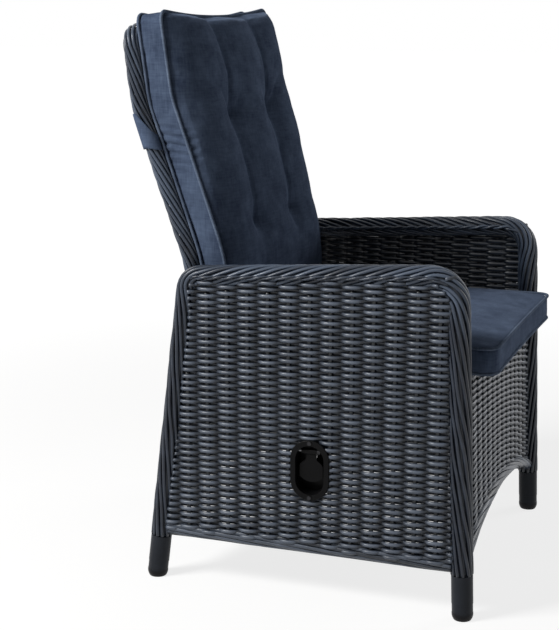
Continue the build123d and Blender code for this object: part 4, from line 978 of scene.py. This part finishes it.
def inflate(piece, pins, pressure, cap):
    """Cloth simulation under pressure, with the pinned points held and each move capped."""
    start = points_of(piece)
    group = piece.vertex_groups.new(name="pin")
    for index in np.flatnonzero(pins > PIN_LEAST):
        group.add([int(index)], float(pins[index]), "REPLACE")
    cloth = piece.modifiers.new("Cloth", "CLOTH")
    settings = cloth.settings
    settings.quality = CLOTH_QUALITY
    settings.mass = CLOTH_MASS
    settings.tension_stiffness = settings.compression_stiffness = CLOTH_STIFFNESS
    settings.shear_stiffness = CLOTH_STIFFNESS / 2
    settings.bending_stiffness = CLOTH_BENDING
    settings.use_pressure = True
    settings.uniform_pressure_force = pressure
    settings.vertex_group_mass = "pin"
    settings.effector_weights.gravity = 0.0
    cloth.point_cache.frame_start = 1
    cloth.point_cache.frame_end = CLOTH_FRAMES
    for number in range(1, CLOTH_FRAMES + 1):
        bpy.context.scene.frame_set(number)
    apply_modifiers(piece)
    bpy.context.scene.frame_set(1)
    moved = points_of(piece) - start
    size = np.linalg.norm(moved, axis=1, keepdims=True)
    set_points(piece, start + moved * np.minimum(1.0, cap / np.maximum(size, TINY)))
    piece.vertex_groups.clear()


def near_line(points, line, reach):
    """How near each point is to a line: 1 up to a third of the reach from it, 0 from the reach on."""
    best = np.full(len(points), np.inf)
    for spot in line:
        best = np.minimum(best, np.sum((points - spot) ** 2, axis=1))
    return np.clip(HOLD_SLOPE - HOLD_SLOPE * np.sqrt(best) / reach, 0.0, 1.0)


def piping(name, line, radius, body, sides=10):
    """Round cord of the piping's cloth along a closed line of points."""
    n = len(line)
    tangent = unit(np.roll(line, -1, axis=0) - np.roll(line, 1, axis=0))
    outs, ups = carried_frames(tangent, (1.0, 0.3, 0.2))
    angle = np.arange(sides) * 2 * math.pi / sides
    ring = line[:, None] + radius * (
        outs[:, None] * np.cos(angle)[None, :, None] + ups[:, None] * np.sin(angle)[None, :, None]
    )
    turn = math.atan2(float(np.dot(outs[-1], ups[0])), float(np.dot(outs[-1], outs[0])))
    faces = []
    for i in range(n):
        k = (i + 1) % n
        shift = 0 if k else int(round(turn / (2 * math.pi / sides)))
        for j in range(sides):
            a, b = i * sides + j, i * sides + (j + 1) % sides
            c, d = k * sides + (j + 1 + shift) % sides, k * sides + (j + shift) % sides
            faces.append((a, b, c, d))
    place(new_mesh(name, ring.reshape(-1, 3), faces, PIPING), body, "cushion_cloth")


def rounded_square(u, v, corner):
    """Moves a point of the unit square so that the square's corners are rounded off."""
    inner = 1 - corner
    du, dv = max(abs(u) - inner, 0.0), max(abs(v) - inner, 0.0)
    reach = math.hypot(du, dv)
    if reach > TINY and du > 0 and dv > 0:
        most = max(du, dv)
        du, dv = du * most / reach, dv * most / reach
    return math.copysign(min(abs(u), inner) + du, u), math.copysign(min(abs(v), inner) + dv, v)


# Seat cushion: its box, how its top crowns, its edges draw in and its corners round; points of its
# grids, rings of its sides, how far the low seam lifts, and how near to a seam or the seat it is held
SEAT_HALF = 0.266
SEAT_FRONT_Y, SEAT_REAR_Y = -0.345, 0.133
SEAT_LOW_Z, SEAT_HIGH_Z = 0.4352, 0.4850
SEAT_CROWN = 0.012
SEAT_DRAW_IN = 0.012
SEAT_CORNER = 0.10
SEAT_GRID = 44
SEAT_RINGS = 5
LOW_SEAM_LIFT = 0.003
SEAT_SEAM_HOLD = 0.010
SEAT_BASE_HOLD = 0.004
SEAT_PIPING_R = 0.0030
SEAT_PIPING_IN = 0.0006


def seat_point(u, v, top):
    """Point of the seat cushion: u across, v from front to rear, each from -1 to 1."""
    u, v = rounded_square(u, v, SEAT_CORNER)
    x = SEAT_HALF * u * (1 - SEAT_DRAW_IN * (1 - v * v))
    half_depth = (SEAT_REAR_Y - SEAT_FRONT_Y) / 2
    y = (SEAT_FRONT_Y + SEAT_REAR_Y) / 2 + half_depth * v * (1 - SEAT_DRAW_IN * (1 - u * u))
    z = SEAT_HIGH_Z + SEAT_CROWN * (1 - u**4) * (1 - v**4) if top else SEAT_LOW_Z
    return x, y, z


def seat_cushion():
    grid = np.linspace(-1, 1, SEAT_GRID)
    levels = (True, False)
    top, low = (np.array([[seat_point(u, v, level) for v in grid] for u in grid]) for level in levels)
    verts, faces = closed_pad(top, low, SEAT_RINGS)
    pad = new_mesh("seat_pad", verts, faces, CLOTH)
    remesh(pad)
    seams = [seam_line([seat_point(u, v, level) for u, v in rim(grid, grid)]) for level in levels]
    seams[1][:, 2] += LOW_SEAM_LIFT
    points = points_of(pad)
    pins = np.maximum(*(near_line(points, seam, SEAT_SEAM_HOLD) for seam in seams))
    pins = np.maximum(pins, (points[:, 2] < SEAT_LOW_Z + SEAT_BASE_HOLD) * 1.0)
    inflate(pad, pins, pressure=3.0, cap=0.024)
    points = points_of(pad)
    points[:, 2] = np.maximum(points[:, 2], SEAT_LOW_Z)
    set_points(pad, points)
    finish_pad(pad, 0.0044)
    place(pad, "base", "cushion_cloth", "seat_cushion")
    middle = (0.0, (SEAT_FRONT_Y + SEAT_REAR_Y) / 2, 0.0)
    for name, seam, lift in (("seat_piping_top", seams[0], -0.0004), ("seat_piping_low", seams[1], 0.0012)):
        line = pushed_out(seam, middle, (1.0, 1.0, 0.0), -SEAT_PIPING_IN)
        line[:, 2] += lift
        piping(name, line, SEAT_PIPING_R, "base")


def finish_pad(pad, depth):
    """Subdivides a pad once and gives it small soft folds."""
    modifier = pad.modifiers.new("Smooth", "SUBSURF")
    modifier.levels = 1
    modifier.render_levels = 1
    apply_modifiers(pad)
    pad.data.polygons.foreach_set("use_smooth", np.ones(len(pad.data.polygons), bool))
    texture = bpy.data.textures.new(f"{pad.name}_folds", "CLOUDS")
    texture.noise_scale = FOLD_SCALE
    texture.noise_depth = 2
    fold = pad.modifiers.new("Folds", "DISPLACE")
    fold.texture = texture
    fold.strength = depth
    fold.mid_level = 0.5
    apply_modifiers(pad)


# Back cushion: its face follows the S, set out by the height along it. Its box, boxing and crown, the
# crown's share before it swells, and how its sides draw in, its top dips and its corners round
BACK_HALF = 0.266
BACK_LOW_Z, BACK_TOP_Z = 0.507, 1.053
BOXING = 0.048
BACK_CROWN = 0.064
START_SHARE = 0.82
BACK_DRAW_IN = 0.018
TOP_DIP = 0.015
DIP_POWER = 6
CUSHION_CORNER = 0.09
BACK_GRID = (56, 60)
BACK_RINGS = 6
FRAME_CLEARANCE = 0.0016
REAR_SEAM_IN = 0.002

# Where the back cushion is held as it swells: near its seams, at its rear and at the tufts, which
# lie on its face and are drawn in further after it
BACK_SEAM_HOLD = 0.009
REAR_HOLD = 0.012
FACE_DEPTH = 0.04
TUFT_X = 0.098
TUFT_LOW_Z, TUFT_HIGH_Z = 0.660, 0.864
TUFTS = [(x, z) for x in (-TUFT_X, TUFT_X) for z in (TUFT_LOW_Z, TUFT_HIGH_Z)]
TUFT_HOLD = (1.6, 0.008)
TUFT_PULL = 0.013
TUFT_REACH = 0.020
TUFT_POWER = 1.4

# Creases that the strap draws into the boxing: below the strap, their height, how far in from the
# side they start and fade, how deep they are, and their waves to the metre upward and across
CREASE_DROP = 0.028
CREASE_HEIGHT = 0.032
CREASE_IN = 0.016
CREASE_FADE = 0.006
CREASE_DEPTH = 0.0042
CREASE_WAVES = (390, 60)

# Piping of the back cushion, and the middle that it is pushed out from
BACK_PIPING_R = 0.0031
BACK_PIPING_OUT = 0.0014
BACK_MIDDLE = (0.0, 0.0, 0.80)

# Three upright bulges: shares of the crown by height at their crests and in the valleys between
# them, how round they are, and how the outer two are skewed and lower
CROWN_HEIGHTS = (0.506, 0.530, 0.598, 0.660, 0.762, 0.864, 0.950, 1.020, 1.046, 1.056)
CROWN_SHARES = (0.08, 0.24, 0.42, 0.58, 0.92, 1.08, 1.08, 0.86, 0.50, 0.14)
VALLEY_SHARES = (0.05, 0.18, 0.28, 0.24, 0.50, 0.58, 0.62, 0.46, 0.28, 0.08)
BULGE_POWER = 0.8
OUTER_SKEW = 0.85
OUTER_SHARE = 0.92


def bulge(x, z):
    """How far the back cushion's face stands ahead of its seam before it swells."""
    crown = np.interp(z, CROWN_HEIGHTS, CROWN_SHARES)
    valley = np.interp(z, CROWN_HEIGHTS, VALLEY_SHARES)
    a = abs(x)
    if a < TUFT_X:
        arch = math.sin(math.pi * (0.5 - 0.5 * a / TUFT_X)) ** BULGE_POWER
        share = valley + (crown - valley) * arch
    else:
        s = (a - TUFT_X) / (BACK_HALF - TUFT_X)
        arch = math.sin(math.pi * min(1.0, max(0.0, s)) ** OUTER_SKEW) ** BULGE_POWER
        floor = valley * (1 - s) ** BULGE_POWER
        share = floor + (crown * OUTER_SHARE - floor) * arch if s < 1 else 0.0
    return START_SHARE * BACK_CROWN * share


def back_cushion():
    curve = BackCurve()

    def on_back(x, z, depth):
        """Point at a width and height, a depth ahead of the frame's centre line."""
        ty, tz = curve.direction(z)
        return np.stack([x, curve.y(z) - depth * tz, z + depth * ty], axis=-1)

    def outline(u, v):
        u, v = rounded_square(u, v, CUSHION_CORNER)
        x = BACK_HALF * u * (1 - BACK_DRAW_IN * (1 - v * v))
        dip = TOP_DIP * (1 - u**2) * max(0.0, v) ** DIP_POWER
        z = BACK_LOW_Z + (BACK_TOP_Z - BACK_LOW_Z) * (v + 1) / 2 - dip
        return x, z

    us, vs = (np.linspace(-1, 1, count) for count in BACK_GRID)
    edge = set(rim(range(len(us)), range(len(vs))))
    clear = BACK_WRAP_R + FRAME_CLEARANCE
    front, rear = np.zeros((2, *BACK_GRID, 3))
    for i, u in enumerate(us):
        for j, v in enumerate(vs):
            x, z = outline(u, v)
            lift = 0.0 if (i, j) in edge else bulge(x, z)
            front[i, j] = on_back(x, z, clear + BOXING + lift)
            rear[i, j] = on_back(x, z, clear)
    verts, faces = closed_pad(front, rear, BACK_RINGS)
    pad = new_mesh("back_pad", verts, faces, CLOTH)
    remesh(pad)

    seams = [seam_line([on_back(*outline(u, v), depth) for u, v in rim(us, vs)])
             for depth in (clear + BOXING, clear + REAR_SEAM_IN)]
    points = points_of(pad)
    ahead = curve.y(points[:, 2]) - points[:, 1]
    pins = np.maximum(*(near_line(points, seam, BACK_SEAM_HOLD) for seam in seams))
    for x, z in TUFTS:
        reach = np.hypot(points[:, 0] - x, points[:, 2] - z)
        held = np.clip(TUFT_HOLD[0] - reach / TUFT_HOLD[1], 0, 1)
        pins = np.maximum(pins, np.where(ahead > FACE_DEPTH, held, 0.0))
    pins = np.maximum(pins, (ahead < clear + REAR_HOLD) * 1.0)
    inflate(pad, pins, pressure=3.4, cap=0.026)

    points = points_of(pad)
    ahead = curve.y(points[:, 2]) - points[:, 1]
    for x, z in TUFTS:
        reach = np.hypot(points[:, 0] - x, points[:, 2] - z)
        pull = TUFT_PULL * np.exp(-((reach / TUFT_REACH) ** TUFT_POWER))
        points[:, 1] += np.where(ahead > FACE_DEPTH, pull, 0.0)
    set_points(pad, points)
    finish_pad(pad, 0.0052)

    points = points_of(pad)
    ahead = curve.y(points[:, 2]) - points[:, 1]
    drawn = np.exp(-(((points[:, 2] - STRAP_Z + CREASE_DROP) / CREASE_HEIGHT) ** 2))
    drawn *= np.clip((np.abs(points[:, 0]) - BACK_HALF + CREASE_IN) / CREASE_FADE, 0, 1)
    crease = 0.5 + 0.5 * np.sin(points[:, 2] * CREASE_WAVES[0] + ahead * CREASE_WAVES[1])
    points[:, 0] -= np.sign(points[:, 0]) * CREASE_DEPTH * drawn * crease**2
    set_points(pad, points)
    place(pad, "back", "cushion_cloth", "back_cushion")
    for name, seam in (("back_piping_front", seams[0]), ("back_piping_rear", seams[1])):
        line = pushed_out(seam, BACK_MIDDLE, (1.0, 0.0, 0.6), BACK_PIPING_OUT)
        piping(name, line, BACK_PIPING_R, "back")


# Strap: how far it stands off the braid, the angles that it turns round the tube between, with its
# points there and across the rear, where it starts to be drawn in, by what share and how far down,
# its ripple, its hollow, its rows of points and its thickness
STRAP_CLEARANCE = 0.0022
STRAP_TURN = (74, -90)
TURN_POINTS = 26
REAR_POINTS = 33
DRAWN_FROM = 35
DRAWN_SHARE = 0.56
DRAWN_DROP = 0.030
STRAP_RIPPLE = 0.0006
RIPPLE_TURNS = 9
STRAP_HOLLOW = 0.0012
STRAP_ROWS = 13
STRAP_T = 0.0016


def hold_strap():
    """Cloth band from the cushion's rear seam round the back frame and across its rear."""
    curve = BackCurve()
    middle = float(np.interp(STRAP_Z, curve.line[:, 1], curve.along))
    reach = BACK_BRAID_R + STRAP_CLEARANCE
    turn = np.radians(np.linspace(*STRAP_TURN, TURN_POINTS))
    across = np.linspace(-BACK_X, 0, REAR_POINTS + 1)[1:]
    drawn = (turn + math.radians(DRAWN_FROM)) / math.radians(STRAP_TURN[0] + DRAWN_FROM)
    half_x = np.concatenate([-BACK_X - reach * np.cos(turn), across])
    half_depth = np.concatenate([reach * np.sin(turn), np.full(REAR_POINTS, -reach)]) - BACK_BRAID_SHIFT
    half_pull = np.concatenate([np.clip(drawn, 0, 1), np.zeros(REAR_POINTS)])
    x = np.concatenate([half_x, -half_x[-2::-1]])
    depth = np.concatenate([half_depth, half_depth[-2::-1]])
    pull = np.concatenate([half_pull, half_pull[-2::-1]])
    pull = pull * pull * (3 - 2 * pull)
    half_width = STRAP_W / 2 * (1 - DRAWN_SHARE * pull)
    ripple = STRAP_RIPPLE * np.sin(RIPPLE_TURNS * np.arange(len(x)) / len(x))
    rows = []
    for share in np.linspace(-1, 1, STRAP_ROWS):
        s = middle - DRAWN_DROP * pull + share * half_width
        (y, z), (ty, tz) = (columns_at(s, curve.along, table) for table in (curve.line, curve.tangent))
        ahead = depth - STRAP_HOLLOW * (1 - share**2) * (np.abs(x) < BACK_X) + ripple * share
        rows.append(np.stack([x, y - ahead * tz, z + ahead * ty], axis=1))
    grid = np.stack(rows, axis=1)
    n, m = grid.shape[:2]
    faces = [(i * m + j, i * m + j + 1, (i + 1) * m + j + 1, (i + 1) * m + j)
             for i in range(n - 1) for j in range(m - 1)]
    band = new_mesh("hold_strap", grid.reshape(-1, 3), faces, CLOTH)
    thick = band.modifiers.new("Thickness", "SOLIDIFY")
    thick.thickness = STRAP_T
    thick.offset = 0.0
    apply_modifiers(band)
    place(band, "back", "strap_cloth", "cushion_strap")


# Stage: half the floor's side; its grey to the chair and to the camera, whose shadow it keeps; and
# its glow to the camera, from under the chair outward
FLOOR_HALF = 30
FLOOR_LIT, FLOOR_SHOWN = (0.80, 0.80, 0.80), (0.26, 0.26, 0.26)
GLOW = {"From Min": 0.9, "From Max": 3.5, "To Min": 0.80, "To Max": 1.0}


def shown_ray(nodes, links):
    """1 on rays from the camera and on glossy or transmitted ones, which show the background too."""
    shows = nodes.new("ShaderNodeLightPath").outputs
    shown = math_node(nodes, links, "MAXIMUM", shows["Is Camera Ray"], shows["Is Glossy Ray"])
    return math_node(nodes, links, "MAXIMUM", shown, shows["Is Transmission Ray"])


def studio():
    world = bpy.data.worlds.new("studio")
    bpy.context.scene.world = world
    world.use_nodes = True
    nodes, links = world.node_tree.nodes, world.node_tree.links
    background = nodes["Background"]
    background.inputs["Color"].default_value = (1.0, 1.0, 1.0, 1.0)
    strength = nodes.new("ShaderNodeMapRange")
    strength.inputs["To Min"].default_value = WORLD_LIGHT
    strength.inputs["To Max"].default_value = 1.0
    links.new(shown_ray(nodes, links), strength.inputs["Value"])
    links.new(strength.outputs["Result"], background.inputs["Strength"])

    corners = [(x * FLOOR_HALF, y * FLOOR_HALF, 0) for x, y in ((-1, -1), (1, -1), (1, 1), (-1, 1))]
    new_mesh("floor", corners, [(0, 1, 2, 3)], floor_material())

    for name, where, target, size, power, colour in LAMPS:
        data = bpy.data.lights.new(name, "AREA")
        data.size = size
        data.energy = power
        data.color = colour
        lamp = bpy.data.objects.new(name, data)
        lamp.location = where
        lamp.rotation_mode = "QUATERNION"
        lamp.rotation_quaternion = (Vector(target) - Vector(where)).to_track_quat("-Z", "Y")
        bpy.context.scene.collection.objects.link(lamp)


def floor_material():
    """Floor that reads as white to the camera, from its own colour, and keeps a faint shadow."""
    material, nodes, links, shader = node_material("floor", roughness=1.0)
    shader.inputs["Specular IOR Level"].default_value = 0.0
    shown = shown_ray(nodes, links)
    links.new(mix(nodes, links, shown, FLOOR_LIT, FLOOR_SHOWN), shader.inputs["Base Color"])
    distance = nodes.new("ShaderNodeVectorMath")
    distance.operation = "LENGTH"
    links.new(nodes.new("ShaderNodeTexCoord").outputs["Object"], distance.inputs[0])
    glow = nodes.new("ShaderNodeMapRange")
    glow.interpolation_type = "SMOOTHSTEP"
    for name, value in GLOW.items():
        glow.inputs[name].default_value = value
    links.new(distance.outputs["Value"], glow.inputs["Value"])
    shader.inputs["Emission Color"].default_value = (1.0, 1.0, 1.0, 1.0)
    links.new(math_node(nodes, links, "MULTIPLY", glow.outputs["Result"], shown),
              shader.inputs["Emission Strength"])
    return material


def camera():
    data = bpy.data.cameras.new("camera")
    data.sensor_width = SENSOR
    data.lens = CAMERA_FOCAL_PIXELS * SENSOR / PHOTO_HEIGHT
    piece = bpy.data.objects.new("camera", data)
    piece.location = CAMERA_PLACE
    yaw, pitch = math.radians(CAMERA_YAW), math.radians(CAMERA_PITCH)
    ahead = Vector((math.cos(pitch) * math.cos(yaw), math.cos(pitch) * math.sin(yaw), -math.sin(pitch)))
    piece.rotation_mode = "QUATERNION"
    piece.rotation_quaternion = ahead.to_track_quat("-Z", "Y")
    data.clip_start, data.clip_end = CAMERA_CLIP
    bpy.context.scene.collection.objects.link(piece)
    bpy.context.scene.camera = piece
    bpy.context.scene.view_settings.view_transform = "Standard"


camera()
studio()
paint_cad_nodes()
arm_wraps()
side_panels()
apron("front", FRONT_FOOT_Y, ARM_FRONT, SEAT_TOP_Z, -1)
apron("rear", REAR_FOOT_Y, ARM_REAR, REAR_RAIL_Z, 1)
back_panel()
back_braid()
seat_cushion()
back_cushion()
hold_strap()
